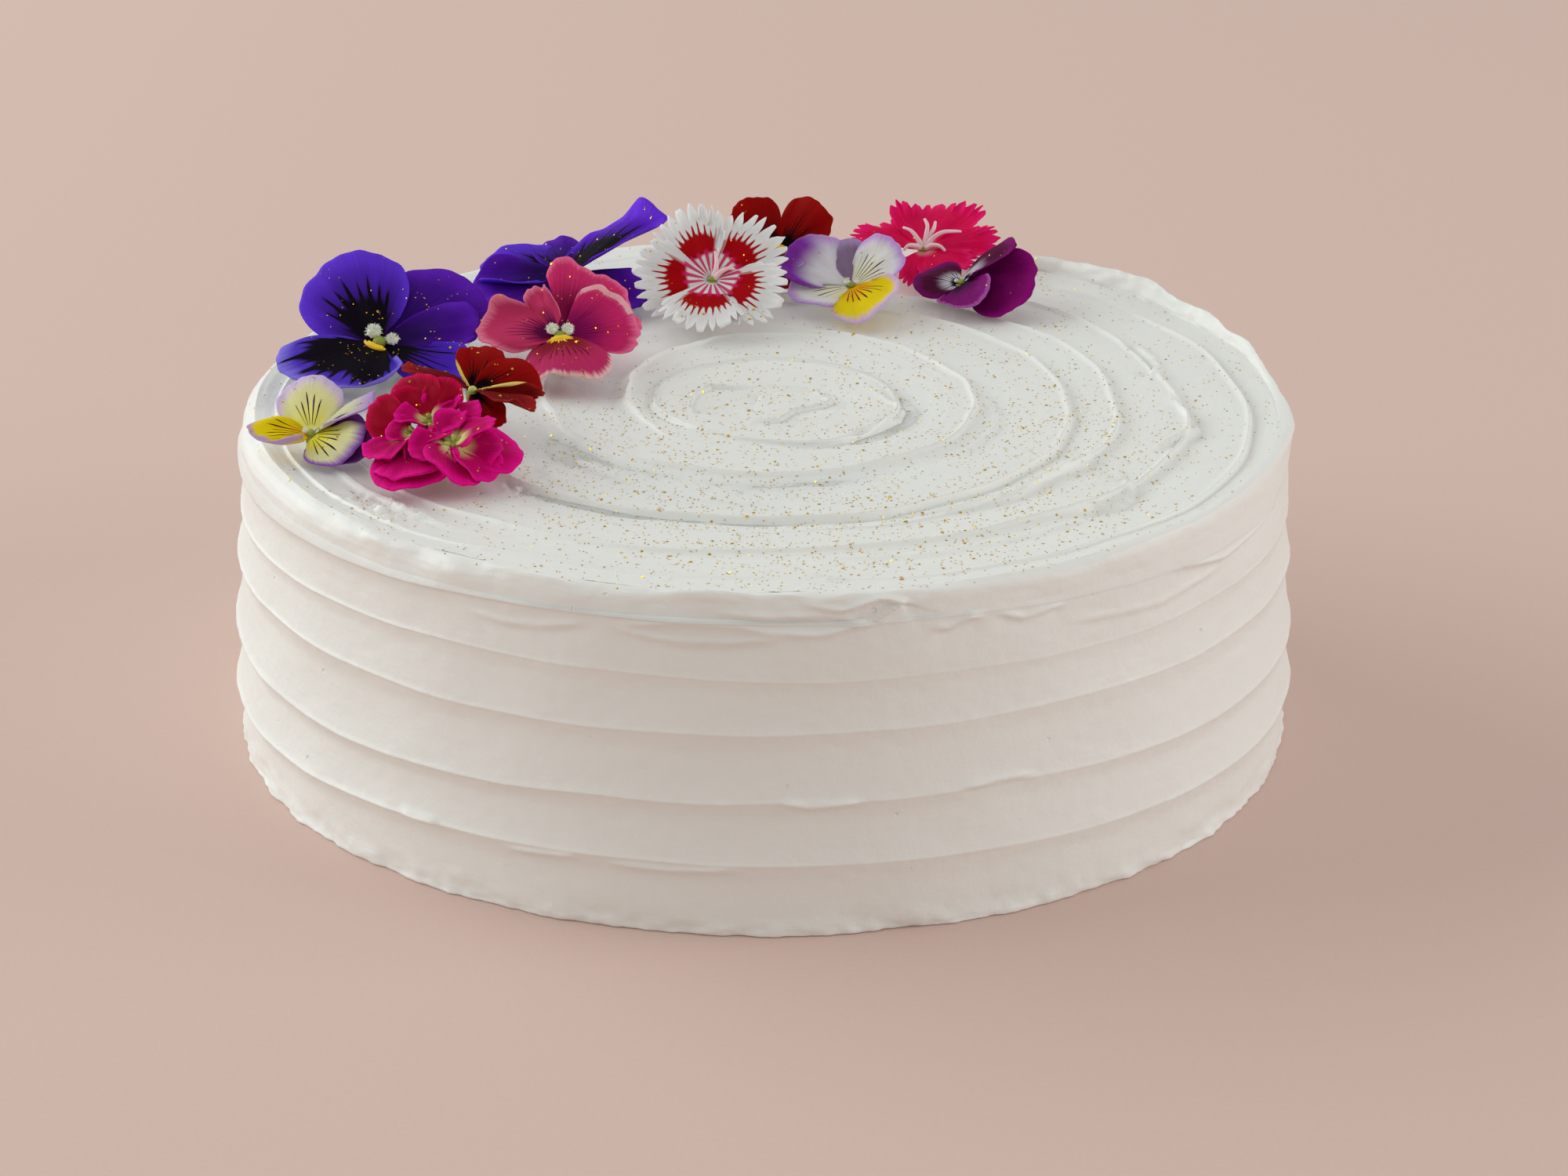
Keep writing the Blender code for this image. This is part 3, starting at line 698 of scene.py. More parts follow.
# %% Icing finish
place = icing_finish.place()
x, y, z = icing_finish.parts_of(place)
plan_angle = icing_finish.math("ARCTAN2", y, x)
plan_radius = (x * x + y * y) ** 0.5
on_side = icing_finish.eased(plan_radius, 0.1035, 0.1050)
side_scratch = icing_finish.noise(icing_finish.joined(plan_angle * 14.0, z * 700.0, 0.0), 1.0, 3.0)
top_scratch = icing_finish.noise(icing_finish.joined(plan_radius * 1400.0, plan_angle * 3.0, 0.0), 1.0, 2.0)
scratch = top_scratch + on_side * (side_scratch - top_scratch)
grit = icing_finish.noise(place, 900.0, 2.0)
bubble = icing_finish.node("ShaderNodeTexVoronoi", {"feature": "F1"}, {"Vector": place, "Scale": 150.0})
bubble_size = icing_finish.noise(place, 220.0, 0.0)
pit = 1.0 - icing_finish.eased(bubble, 0.03, 0.09)
pit = pit * icing_finish.eased(bubble_size, 0.56, 0.62)
whipped = icing_finish.noise(place, 380.0, 4.0, 0.65)
relief = scratch * 0.20 + grit * 0.12 + whipped * 0.36 - pit * 0.8
icing_finish.bump(relief, 0.00045, 0.7)
tint = icing_finish.noise(place, 14.0, 2.0)
icing_finish.plug(
    icing_finish.shader.inputs["Base Color"],
    icing_finish.blend(tint, rgb(0.865, 0.87, 0.835), rgb(0.905, 0.91, 0.875)),
)
icing_finish.plug(icing_finish.shader.inputs["Roughness"], 0.36 + 0.16 * icing_finish.noise(place, 60.0, 2.0))
print("icing finish:", len(icing_finish.tree.nodes), "nodes")

# %% [markdown]
# A petal is a thin fan. It could be cut from a curved sheet, but a fan keeps two useful numbers: across runs
# from -1 to 1 between its two side edges, and along runs from 0 at the root to 1 at the margin. They are
# also its UV map, so that veins, rays and margins can be painted where they grow. Azimuth and climb say
# which way a petal points, spread is half the angle of its fan, and fullness, roll, bend, skew and cup shape
# it. A head is one flower: its eye's place over the top, the way its face leans, and its petals. A curl
# lifts or drops one place of a margin.

# %% The flowers: places, petals and their paints
Petal = namedtuple("Petal", "azimuth climb length spread fullness roll bend skew cup paint")
Head = namedtuple("Head", "x y height lean_azimuth lean petals")
FLOWERS = {
    "blue_pansy_front": [
        Head(-79.0, 15.0, 6.0, -85, 30, (
            Petal(122, 31, 24.0, 57, 0.40, 10, 8, 0.04, 0.01, "blue_blotched"),
            Petal(39, 18, 25.0, 51, 0.38, -4, 11, 0.04, 0.13, "blue_plain"),
            Petal(14, 9, 21.0, 34, 0.40, 0, 10, 0.0, 0.15, "blue_plain"),
            Petal(-32, -6, 21.5, 35, 0.37, 4, -7, -0.05, 0.08, "blue_side"),
            Petal(-116, -3, 26.5, 54, 0.35, -1, 9, 0.12, 0.16, "blue_lip"),
        )),
    ],
    "yellow_viola": [
        Head(-88.0, -34.0, 4.0, -60, 30, (
            Petal(99, 40, 14.0, 53, 0.36, 20, 3, 0.03, -0.2, "yellow_top"),
            Petal(14, 30, 15.0, 44, 0.37, 45, 15, -0.02, 0.12, "yellow_edge_on"),
            Petal(-45, 4, 13.0, 63, 0.38, -25, 9, 0.0, -0.09, "yellow_right"),
            Petal(-30, 0, 13.5, 51, 0.36, -30, 11, 0.02, 0.11, "deep_purple"),
            Petal(-165, 8, 12.5, 50, 0.36, -6, 8, 0.05, 0.5, "yellow_left"),
        )),
    ],
    "stock_cluster": [
        Head(-64.3, -40.9, 9.0, -90, 30, (
            Petal(115, 22, 14.0, 42, 0.39, 7, 9, 0.0, 0.08, "stock_deep"),
            Petal(71, 29, 11.5, 38, 0.39, 0, 8, 0.0, 0.09, "stock_deep"),
            Petal(131, 31, 10.0, 60, 0.37, -3, 6, 0.0, -0.17, "stock_deep"),
            Petal(63, 31, 9.0, 46, 0.29, 10, 11, 0.02, 0.12, "stock_bright"),
            Petal(8, 15, 10.5, 41, 0.26, 8, 11, -0.02, 0.22, "stock_bright"),
            Petal(-40, 12, 9.0, 54, 0.26, 10, 14, 0.0, 0.12, "stock_bright"),
            Petal(-150, 25, 7.5, 52, 0.26, -8, 12, 0.0, 0.2, "stock_bright"),
        )),
        Head(-66.7, -44.7, 8.0, -110, 25, (
            Petal(142, 11, 12.5, 38, 0.37, 45, 15, 0.13, 0.25, "stock_deep"),
            Petal(-171, 16, 6.0, 57, 0.25, 5, 9, 0.0, 0.06, "stock_bright"),
            Petal(-147, -15, 11.0, 56, 0.26, -28, 17, 0.0, 0.3, "stock_bright"),
            Petal(-98, -18, 14.5, 54, 0.27, -5, 6, -0.08, 0.15, "stock_bright"),
            Petal(-88, -19, 16.5, 56, 0.26, 0, 9, -0.03, 0.05, "stock_bright"),
            Petal(-83, -20, 10.0, 30, 0.29, 20, 14, -0.05, 0.16, "stock_bright"),
            Petal(-30, 10, 8.5, 54, 0.27, 10, 14, 0.0, 0.2, "stock_bright"),
        )),
        Head(-59.2, -49.8, 8.0, -80, 25, (
            Petal(6, 37, 9.5, 64, 0.26, 29, 9, -0.02, -0.03, "stock_bright"),
            Petal(15, -12, 13.5, 59, 0.27, 12, 8, 0.03, 0.03, "stock_bright"),
            Petal(1, -6, 9.5, 53, 0.27, 3, 11, 0.05, 0.11, "stock_bright"),
            Petal(-40, -17, 11.5, 49, 0.28, 18, 10, 0.03, 0.11, "stock_bright"),
            Petal(-88, -14, 12.0, 57, 0.29, 19, 15, 0.0, 0.13, "stock_bright"),
            Petal(151, 10, 6.0, 54, 0.26, 6, 13, 0.02, 0.18, "stock_bright"),
            Petal(80, 22, 9.5, 56, 0.26, 0, 14, 0.0, 0.2, "stock_bright"),
            Petal(-150, 5, 9.0, 49, 0.27, -8, 14, 0.0, 0.2, "stock_bright"),
        )),
    ],
    "red_viola_left": [
        Head(-57.5, -21.5, 9.0, -70, 50, (
            Petal(73, 27, 12.0, 52, 0.36, 10, 7, 0.0, 0.0, "dark_red_gold"),
            Petal(29, 8, 14.0, 45, 0.50, 2, 11, 0.17, 0.04, "dark_red"),
            Petal(5, -5, 14.0, 17, 0.40, -50, 12, 0.0, 0.1, "red_yellow_edge"),
            Petal(-35, -1, 15.0, 27, 0.37, 45, 15, -0.03, 0.14, "dark_red_edge_on"),
            Petal(152, 10, 15.5, 28, 0.37, -45, 15, -0.04, 0.19, "dark_red_edge_on"),
            Petal(-57, -30, 11.0, 39, 0.40, 4, 14, 0.03, 0.18, "dark_red"),
        )),
    ],
    "pink_pansy": [
        Head(-42.0, 14.0, 8.0, -85, 32, (
            Petal(62, 17, 22.5, 42, 0.12, -14, 28, 0.0, -0.03, "rose"),
            Petal(32, 8, 17.0, 43, 0.17, -14, 14, 0.02, 0.03, "rose_folded"),
            Petal(118, 27, 14.5, 26, 0.41, 45, 15, 0.13, 0.16, "rose_side"),
            Petal(165, 4, 17.5, 48, 0.36, -12, 13, 0.08, 0.14, "rose_side"),
            Petal(-91, -3, 16.5, 72, 0.34, -14, 4, -0.15, -0.4, "rose_lip"),
        )),
    ],
    "blue_pansy_rear": [
        Head(-42.5, 58.0, 7.0, -90, 20, (
            Petal(154, -1, 20.5, 62, 0.34, -7, 8, -0.05, 0.04, "blue_blotched"),
            Petal(43, 21, 25.0, 52, 0.46, 32, 9, 0.04, 0.07, "blue_rear"),
            Petal(-161, -7, 21.0, 42, 0.35, 3, 15, 0.08, 0.18, "blue_plain"),
            Petal(-26, -9, 18.5, 36, 0.33, -9, 12, 0.1, 0.16, "blue_plain"),
            Petal(98, 6, 18.0, 44, 0.36, 0, 12, 0.0, 0.1, "blue_plain"),
        )),
    ],
    "white_dianthus": [
        Head(-11.5, 48.5, 9.0, -90, 34, (
            Petal(120, 38, 18.5, 39, 0.20, 16, 14, 0.0, 0.19, "white_ringed"),
            Petal(35, 28, 18.5, 41, 0.20, -9, 13, -0.03, 0.20, "white_ringed"),
            Petal(-33, -7, 17.5, 44, 0.19, -11, 11, 0.0, 0.10, "white_ringed"),
            Petal(-98, -18, 17.0, 47, 0.16, -1, 8, 0.09, -0.05, "white_ringed"),
            Petal(-169, 0, 16.5, 47, 0.11, 19, 12, 0.05, 0.13, "white_ringed"),
        )),
    ],
    "red_viola_rear": [
        Head(3.0, 69.0, 9.0, -90, 45, (
            Petal(155, 40, 14.0, 46, 0.27, 0, 14, 0.02, 0.23, "dark_red"),
            Petal(10, 48, 13.5, 46, 0.31, 0, 6, 0.0, 0.11, "dark_red"),
            Petal(180, -18, 12.5, 34, 0.38, -20, 12, 0.0, 0.1, "dark_red_edge_on"),
            Petal(-5, -20, 12.0, 40, 0.38, 10, 12, 0.0, 0.1, "dark_red_edge_on"),
            Petal(-92, -32, 11.0, 48, 0.36, 0, 12, 0.0, 0.1, "dark_red_edge_on"),
        )),
    ],
    "lilac_viola": [
        Head(18.2, 56.7, 5.0, -90, 32, (
            Petal(147, 26, 16.5, 51, 0.31, 2, 10, -0.12, 0.10, "lilac_upper"),
            Petal(90, 40, 12.0, 40, 0.38, -4, 11, -0.02, 0.14, "lilac_rear"),
            Petal(22, 40, 13.5, 54, 0.35, 7, 8, 0.05, 0.01, "lilac_side"),
            Petal(-176, 1, 13.5, 62, 0.34, -7, 12, -0.08, 0.26, "lilac_side"),
            Petal(-69, -1, 16.0, 57, 0.35, -10, 10, 0.05, 0.06, "lilac_lip"),
        )),
    ],
    "crimson_dianthus": [
        Head(34.2, 79.5, 6.0, -90, 25, (
            Petal(77, 11, 20.0, 48, 0.18, 7, 13, 0.09, 0.34, "crimson"),
            Petal(148, 8, 16.5, 41, 0.22, -18, 14, -0.05, 0.24, "crimson"),
            Petal(0, 9, 16.5, 36, 0.24, 4, 8, 0.07, 0.08, "crimson"),
            Petal(-106, -16, 13.0, 32, 0.24, 0, 13, -0.02, 0.18, "crimson"),
            Petal(-59, -5, 14.5, 42, 0.20, -3, 8, 0.0, 0.02, "crimson"),
        )),
    ],
    "purple_viola": [
        Head(41.7, 59.2, 5.0, -70, 28, (
            Petal(-31, 5, 17.5, 50, 0.22, -22, 3, -0.05, 0.13, "purple"),
            Petal(15, 38, 15.0, 45, 0.39, 45, 13, 0.02, 0.11, "purple_eyed"),
            Petal(157, 1, 10.5, 70, 0.25, -4, 10, 0.09, -0.13, "purple_eyed"),
            Petal(-79, -3, 12.0, 60, 0.36, -34, 15, 0.04, 0.23, "purple_lip"),
        )),
    ],
}
Margin = namedtuple("Margin", "ruffle waves lobes fringe notch")
MARGINS = {
    "blue_pansy_front": Margin(0.7, 3.0, 0.035, 0, 0),
    "yellow_viola": Margin(0.7, 2.4, 0.035, 0, 0),
    "stock_cluster": Margin(1.1, 1.6, 0.030, 0, 0),
    "red_viola_left": Margin(0.7, 3.2, 0.050, 0, 0),
    "pink_pansy": Margin(1.1, 3.4, 0.060, 0, 0),
    "blue_pansy_rear": Margin(1.2, 3.0, 0.050, 0, 0),
    "white_dianthus": Margin(0.6, 3.0, 0.010, 10, 0.20),
    "red_viola_rear": Margin(0.6, 2.6, 0.040, 0, 0),
    "lilac_viola": Margin(0.7, 2.8, 0.040, 0, 0),
    "crimson_dianthus": Margin(0.8, 3.2, 0.020, 12, 0.15),
    "purple_viola": Margin(0.5, 2.4, 0.035, 0, 0),
}
Curl = namedtuple("Curl", "side width start rise")
CURLS = {
    ("blue_pansy_front", 0, 0): (Curl(-0.9, 0.4, 0.75, -1.5),),
    ("blue_pansy_front", 0, 4): (Curl(-0.6, 0.45, 0.74, 3.4), Curl(0.8, 0.4, 0.7, -1.5)),
    ("yellow_viola", 0, 0): (Curl(0.0, 0.8, 0.7, -1.2),),
    ("yellow_viola", 0, 4): (Curl(-0.75, 0.5, 0.5, 2.4), Curl(0.6, 0.4, 0.6, -2.4)),
    ("yellow_viola", 0, 2): (Curl(-0.4, 0.5, 0.7, -1.4),),
    ("pink_pansy", 0, 0): (Curl(-0.7, 0.35, 0.7, -1.0), Curl(0.5, 0.4, 0.75, -1.8)),
    ("pink_pansy", 0, 1): (Curl(-0.6, 0.5, 0.80, 1.4),),
    ("pink_pansy", 0, 3): (Curl(0.4, 0.35, 0.6, 1.8), Curl(-0.5, 0.3, 0.6, -1.5)),
    ("pink_pansy", 0, 4): (Curl(0.0, 1.2, 0.55, -2.4),),
    ("blue_pansy_rear", 0, 0): (Curl(-0.6, 0.4, 0.7, 1.5),),
    ("blue_pansy_rear", 0, 1): (Curl(0.0, 0.22, 0.84, 3.0), Curl(-0.7, 0.4, 0.5, 1.5)),
    ("lilac_viola", 0, 4): (Curl(-0.5, 0.45, 0.65, 1.6), Curl(0.2, 0.3, 0.7, -1.2)),
    ("purple_viola", 0, 3): (Curl(0.6, 0.5, 0.6, 1.2),),
    ("crimson_dianthus", 0, 0): (Curl(-0.5, 0.4, 0.6, 1.5), Curl(0.6, 0.4, 0.6, 1.2)),
}
petal_count = sum(len(head.petals) for heads in FLOWERS.values() for head in heads)
print(petal_count, "petals on", len(FLOWERS), "flowers")

# %% [markdown]
# A real petal is stained in layers: the body, its margin, fine veins that run along it, a pale or yellow
# heart, a dark blotch whose edge breaks up into rays, and thin dark streaks that point to the eye. A painted
# picture would blur close by, so each layer is worked out from across and along. Every reach is a share of
# the petal's length, and every half a share of its half width. A few paints also carry light and shade: the
# pale margin of the blue lower petal is a painted highlight, the dark heart of the plain blue petals is
# painted shade near the eye, and one purple petal of the yellow viola is darkened with painted shade.


# %% Petal paint
def petal_finish(
    name, body, edge, edge_from=0.72, heart=None, heart_reach=0.3, blotch=None, halo=None, blotch_reach=0.0,
    blotch_half=0.40, ray=0.15, rays=9, streak=None, streaks=7, streak_reach=0.5, streak_half=0.55, band=None,
    band_at=1.0, band_half=0.1, band_along=0.0, band_soft=0.04, vein=0.22, rough=0.6, glow=0.0, seed=0.0,
):
    """The finish of one kind of petal."""
    finish = Finish(name, Roughness=rough)
    finish.shader.inputs["Specular IOR Level"].default_value = 0.05
    finish.shader.inputs["Subsurface Weight"].default_value = glow
    finish.shader.inputs["Subsurface Radius"].default_value = (1.0, 0.9, 0.7)
    finish.shader.inputs["Subsurface Scale"].default_value = 0.0015
    u, v, _ = finish.parts_of(finish.uv())
    across = u * 2.0 - 1.0
    vein_lines = finish.noise_line(across * 7.0 + seed, 3.2, 4.0, 0.7)
    swell = finish.noise_line(across * 2.0 + seed, 2.0, 1.0)
    cloud = finish.noise(finish.place(), 130.0, 2.0)
    colour = finish.blend(0.55 * cloud + vein * vein_lines, rgb(*body), rgb(*[0.6 * part for part in body]))
    margin = finish.eased(v + 0.16 * vein_lines - 0.08, edge_from, 1.0)
    colour = finish.blend(margin, colour, rgb(*edge))
    side_share = finish.math("ABSOLUTE", across)
    if heart:
        reach = heart_reach * (0.6 + 0.8 * vein_lines)
        colour = finish.blend(1.0 - finish.eased(v, 0.35 * reach, 1.4 * reach), colour, rgb(*heart))
    if blotch:
        wave = 0.5 + 0.5 * finish.math("COSINE", across * (math.pi * rays) + 3.4 * vein_lines)
        centred = 1.0 - finish.eased(side_share, blotch_half, blotch_half + 0.58)
        core = blotch_reach * (0.7 + 0.6 * swell)
        reach = (core + ray * wave**4.0 * (0.3 + 1.6 * swell)) * (0.25 + 0.75 * centred)
        if halo:
            colour = finish.blend(1.0 - finish.eased(v, 0.5 * core, 1.9 * core), colour, rgb(*halo))
        colour = finish.blend(1.0 - finish.eased(v, reach - 0.08, reach + 0.03), colour, rgb(*blotch))
    if streak:
        wave = 0.5 + 0.5 * finish.math("COSINE", across * (math.pi * streaks) + 1.6 * vein_lines)
        ends = streak_reach * (0.55 + 0.9 * finish.noise_line(across * 5.0 + seed, 2.0, 1.0))
        line = wave**6.0 * (1.0 - finish.eased(v, ends * 0.8, ends))
        line = line * (1.0 - finish.eased(side_share, streak_half * 0.85, streak_half))
        line = line * finish.eased(v, 0.05, 0.13)
        colour = finish.blend(finish.eased(line, 0.2, 0.6), colour, rgb(*streak))
    if band:
        away = finish.math("ABSOLUTE", across - band_at)
        strip = 1.0 - finish.eased(away, band_half, band_half + band_soft)
        if band_along:
            strip = strip * finish.eased(v + 0.04 * vein_lines, band_along, band_along + band_soft)
        colour = finish.blend(strip, colour, rgb(*band))
    finish.plug(finish.shader.inputs["Base Color"], colour)
    finish.bump(vein_lines * (0.3 + 0.7 * v) + 0.3 * cloud, 0.00045, 0.6)
    return finish


NEAR_BLACK = (0.003, 0.0004, 0.005)
DARK_VIOLET = (0.022, 0.002, 0.085)
PAINTS = {
    "blue_blotched": petal_finish(
        "blue petal with a dark face", (0.105, 0.024, 0.62), (0.125, 0.036, 0.70), blotch=NEAR_BLACK,
        halo=DARK_VIOLET, blotch_reach=0.50, ray=0.20, rays=13, seed=1.0,
    ),
    "blue_side": petal_finish(
        "blue side petal with a dark face", (0.075, 0.016, 0.52), (0.10, 0.03, 0.62), blotch=NEAR_BLACK,
        halo=DARK_VIOLET, blotch_reach=0.40, ray=0.36, rays=11, seed=1.6,
    ),
    "blue_rear": petal_finish(
        "rear blue petal", (0.13, 0.010, 0.70), (0.16, 0.03, 0.78), blotch=NEAR_BLACK, halo=DARK_VIOLET,
        blotch_reach=0.55, blotch_half=0.6, ray=0.20, rays=13, seed=1.8,
    ),
    # The plain blue petal's dark violet heart is painted shade: the shade near the eye, where other petals
    # overlap it.
    "blue_plain": petal_finish(
        "plain blue petal", (0.075, 0.005, 0.33), (0.12, 0.012, 0.48), heart=(0.016, 0.001, 0.07),
        heart_reach=0.60, vein=0.35, seed=2.0,
    ),
    # The blue lower petal's pale, greyish margin is a painted highlight: the glare on its tip, painted into its
    # colour.
    "blue_lip": petal_finish(
        "blue lower petal", (0.10, 0.04, 0.60), (0.24, 0.18, 0.78), edge_from=0.80, blotch=NEAR_BLACK,
        blotch_reach=0.74, blotch_half=0.62, ray=0.12, rays=17, seed=3.0,
    ),
    "yellow_top": petal_finish(
        "pale yellow petal with lilac margin", (0.96, 0.92, 0.42), (0.60, 0.44, 0.76), edge_from=0.64,
        heart=(0.92, 0.82, 0.16), heart_reach=0.45, streak=(0.03, 0.002, 0.03), streaks=11, streak_reach=0.60,
        streak_half=0.42, vein=0.1, glow=0.4, seed=4.0,
    ),
    "yellow_edge_on": petal_finish(
        "pale green-yellow petal", (0.74, 0.74, 0.46), (0.42, 0.26, 0.62), edge_from=0.55, vein=0.15,
        glow=0.4, seed=5.0,
    ),
    "yellow_right": petal_finish(
        "pale yellow petal with purple tip", (0.96, 0.93, 0.46), (0.28, 0.09, 0.50), edge_from=0.74,
        heart=(0.94, 0.80, 0.05), heart_reach=0.55, streak=(0.03, 0.002, 0.03), streaks=11, streak_reach=0.62,
        streak_half=0.6, vein=0.1, glow=0.4, seed=6.0,
    ),
    # This yellow viola petal lies half hidden behind its right petal. Its purple is its margin's own colour,
    # and the darkness all over it is painted shade.
    "deep_purple": petal_finish("purple petal in painted shade", (0.11, 0.008, 0.19), (0.20, 0.05, 0.32), seed=7.0),
    "yellow_left": petal_finish(
        "deep yellow petal", (1.0, 0.72, 0.002), (0.44, 0.26, 0.50), edge_from=0.86,
        heart=(0.95, 0.50, 0.001), heart_reach=0.35, streak=(0.06, 0.004, 0.01), streaks=11,
        streak_reach=0.66, streak_half=0.6, band=(0.50, 0.34, 0.58), band_at=-1.0, band_half=0.70,
        band_along=0.72, band_soft=0.15, vein=0.1, glow=0.4, seed=8.0,
    ),
    "stock_bright": petal_finish(
        "magenta petal", (0.70, 0.0005, 0.16), (0.86, 0.004, 0.28), edge_from=0.75, heart=(0.82, 0.80, 0.30),
        heart_reach=0.34, vein=0.5, seed=9.0,
    ),
    "stock_deep": petal_finish(
        "deep magenta petal", (0.44, 0.0004, 0.024), (0.62, 0.001, 0.07), edge_from=0.82,
        heart=(0.62, 0.40, 0.22), heart_reach=0.14, vein=0.5, seed=10.0,
    ),
    "dark_red": petal_finish(
        "dark red petal", (0.36, 0.001, 0.001), (0.34, 0.002, 0.002), blotch=(0.004, 0.0003, 0.0006),
        halo=(0.09, 0.0005, 0.001), blotch_reach=0.26, ray=0.34, rays=15, vein=0.5, seed=11.0,
    ),
    "dark_red_gold": petal_finish(
        "dark red petal with a gold side", (0.36, 0.001, 0.001), (0.34, 0.002, 0.002),
        blotch=(0.004, 0.0003, 0.0006), halo=(0.09, 0.0005, 0.001), blotch_reach=0.26, ray=0.34, rays=15,
        vein=0.5, band=(0.90, 0.66, 0.10), band_at=-1.0, band_half=0.13, seed=11.5,
    ),
    "dark_red_edge_on": petal_finish("maroon petal", (0.22, 0.002, 0.006), (0.36, 0.012, 0.012), seed=12.0),
    "red_yellow_edge": petal_finish(
        "red petal with yellow edge", (0.20, 0.002, 0.002), (0.34, 0.01, 0.004), edge_from=0.86,
        band=(0.88, 0.66, 0.16), band_at=-1.0, band_half=0.28, seed=13.0,
    ),
    "rose": petal_finish(
        "rose petal", (0.78, 0.030, 0.18), (0.84, 0.14, 0.30), edge_from=0.86, heart=(0.20, 0.001, 0.05),
        heart_reach=0.62, blotch=(0.12, 0.001, 0.06), blotch_reach=0.14, ray=0.22, rays=17, vein=0.5,
        seed=14.0,
    ),
    "rose_folded": petal_finish(
        "rose petal with a folded side", (0.76, 0.025, 0.18), (0.84, 0.16, 0.32), edge_from=0.84,
        heart=(0.24, 0.002, 0.09), heart_reach=0.60, blotch=(0.12, 0.001, 0.06), blotch_reach=0.16, ray=0.30,
        rays=17, band=(0.88, 0.44, 0.48), band_at=-0.45, band_half=0.50, band_along=0.93, band_soft=0.02,
        vein=0.5, seed=14.6,
    ),
    "rose_side": petal_finish(
        "rose side petal", (0.70, 0.045, 0.16), (0.84, 0.20, 0.32), edge_from=0.84,
        blotch=(0.10, 0.001, 0.05), halo=(0.28, 0.004, 0.08), blotch_reach=0.28, ray=0.30, rays=15, vein=0.5,
        seed=15.0,
    ),
    "rose_lip": petal_finish(
        "rose lower petal", (0.62, 0.03, 0.15), (0.86, 0.52, 0.52), edge_from=0.90,
        heart=(0.26, 0.008, 0.012), heart_reach=0.62, streak=(0.10, 0.002, 0.02), streaks=21,
        streak_reach=0.70, streak_half=0.85, vein=0.35, seed=16.0,
    ),
    "white_ringed": petal_finish(
        "white petal with crimson ring", (0.86, 0.84, 0.83), (0.90, 0.89, 0.88), vein=0.05, glow=0.4,
        seed=17.0,
    ),
    "lilac_side": petal_finish(
        "lilac petal", (0.90, 0.88, 0.92), (0.52, 0.30, 0.74), edge_from=0.76, heart=(0.84, 0.80, 0.56),
        heart_reach=0.62, streak=(0.03, 0.004, 0.06), streaks=11, streak_reach=0.66, streak_half=0.6,
        vein=0.1, glow=0.4, seed=18.0,
    ),
    "lilac_upper": petal_finish(
        "upper lilac petal", (0.74, 0.68, 0.80), (0.48, 0.28, 0.66), edge_from=0.70, heart=(0.82, 0.78, 0.82),
        heart_reach=0.60, band=(0.20, 0.025, 0.34), band_at=-0.4, band_half=0.45, band_along=0.50,
        band_soft=0.38, vein=0.2, glow=0.4, seed=19.0,
    ),
    "lilac_rear": petal_finish("rear lilac petal", (0.30, 0.20, 0.34), (0.42, 0.28, 0.52), vein=0.4, seed=19.4),
    "lilac_lip": petal_finish(
        "yellow lower petal with lilac edge", (0.98, 0.70, 0.004), (0.62, 0.42, 0.74), edge_from=0.80,
        heart=(0.95, 0.40, 0.001), heart_reach=0.42, streak=(0.04, 0.002, 0.01), streaks=11,
        streak_reach=0.58, streak_half=0.7, vein=0.05, glow=0.4, seed=20.0,
    ),
    "crimson": petal_finish(
        "crimson petal", (0.86, 0.001, 0.095), (0.90, 0.008, 0.16), heart=(0.80, 0.22, 0.28),
        heart_reach=0.16, vein=0.5, seed=21.0,
    ),
    "purple": petal_finish("purple petal", (0.22, 0.001, 0.13), (0.28, 0.003, 0.18), vein=0.4, seed=22.0),
    "purple_eyed": petal_finish(
        "purple petal with a white eye", (0.10, 0.001, 0.045), (0.22, 0.003, 0.15), heart=(0.86, 0.84, 0.92),
        heart_reach=0.36, blotch=(0.010, 0.0005, 0.03), blotch_reach=0.16, blotch_half=0.7, ray=0.22, rays=13,
        vein=0.4, seed=22.5,
    ),
    "purple_lip": petal_finish(
        "bright purple lower petal", (0.27, 0.006, 0.20), (0.44, 0.10, 0.42), edge_from=0.86,
        heart=(0.05, 0.001, 0.04), heart_reach=0.45, vein=0.3, seed=23.0,
    ),
}
print(len(PAINTS), "petal paints")

# %% [markdown]
# The white china pink has a crimson ring: a broad band that ends in rays outside, and thin pink lines that
# run in to the eye. A ring piece laid on the petals would not follow their waves, so it is painted the same
# way as the blotches, between two places along the petal.

# %% Crimson ring
RING_START = 0.30
RING_END = 0.50
ringed = PAINTS["white_ringed"]
u, v, _ = ringed.parts_of(ringed.uv())
across = u * 2.0 - 1.0
lines = ringed.noise_line(across * 9.0, 3.0, 3.0, 0.7)
teeth = (0.5 + 0.5 * ringed.math("COSINE", across * (math.pi * 13.0) + 4.0 * lines)) ** 3.0
outer = RING_END + 0.16 * teeth * (0.4 + 1.2 * ringed.noise_line(across * 3.0, 2.0, 1.0)) + 0.10 * lines
inner = RING_START + 0.14 * (ringed.math("ABSOLUTE", across) ** 2.0) - 0.06 * lines
band = ringed.eased(v, inner - 0.03, inner + 0.02) * (1.0 - ringed.eased(v, outer - 0.02, outer + 0.02))
sides = 1.0 - ringed.eased(ringed.math("ABSOLUTE", across) + 0.3 * lines, 0.82, 0.98)
spokes = ringed.eased((0.5 + 0.5 * ringed.math("COSINE", across * (math.pi * 5.0) + 2.0 * lines)), 0.30, 0.7)
centre = (1.0 - ringed.eased(v, inner + 0.02, inner + 0.08)) * spokes * ringed.eased(v, 0.02, 0.08)
crimson = ringed.blend(lines, rgb(0.24, 0.0001, 0.0005), rgb(0.50, 0.0003, 0.006))
petal_colour = ringed.shader.inputs["Base Color"].links[0].from_socket
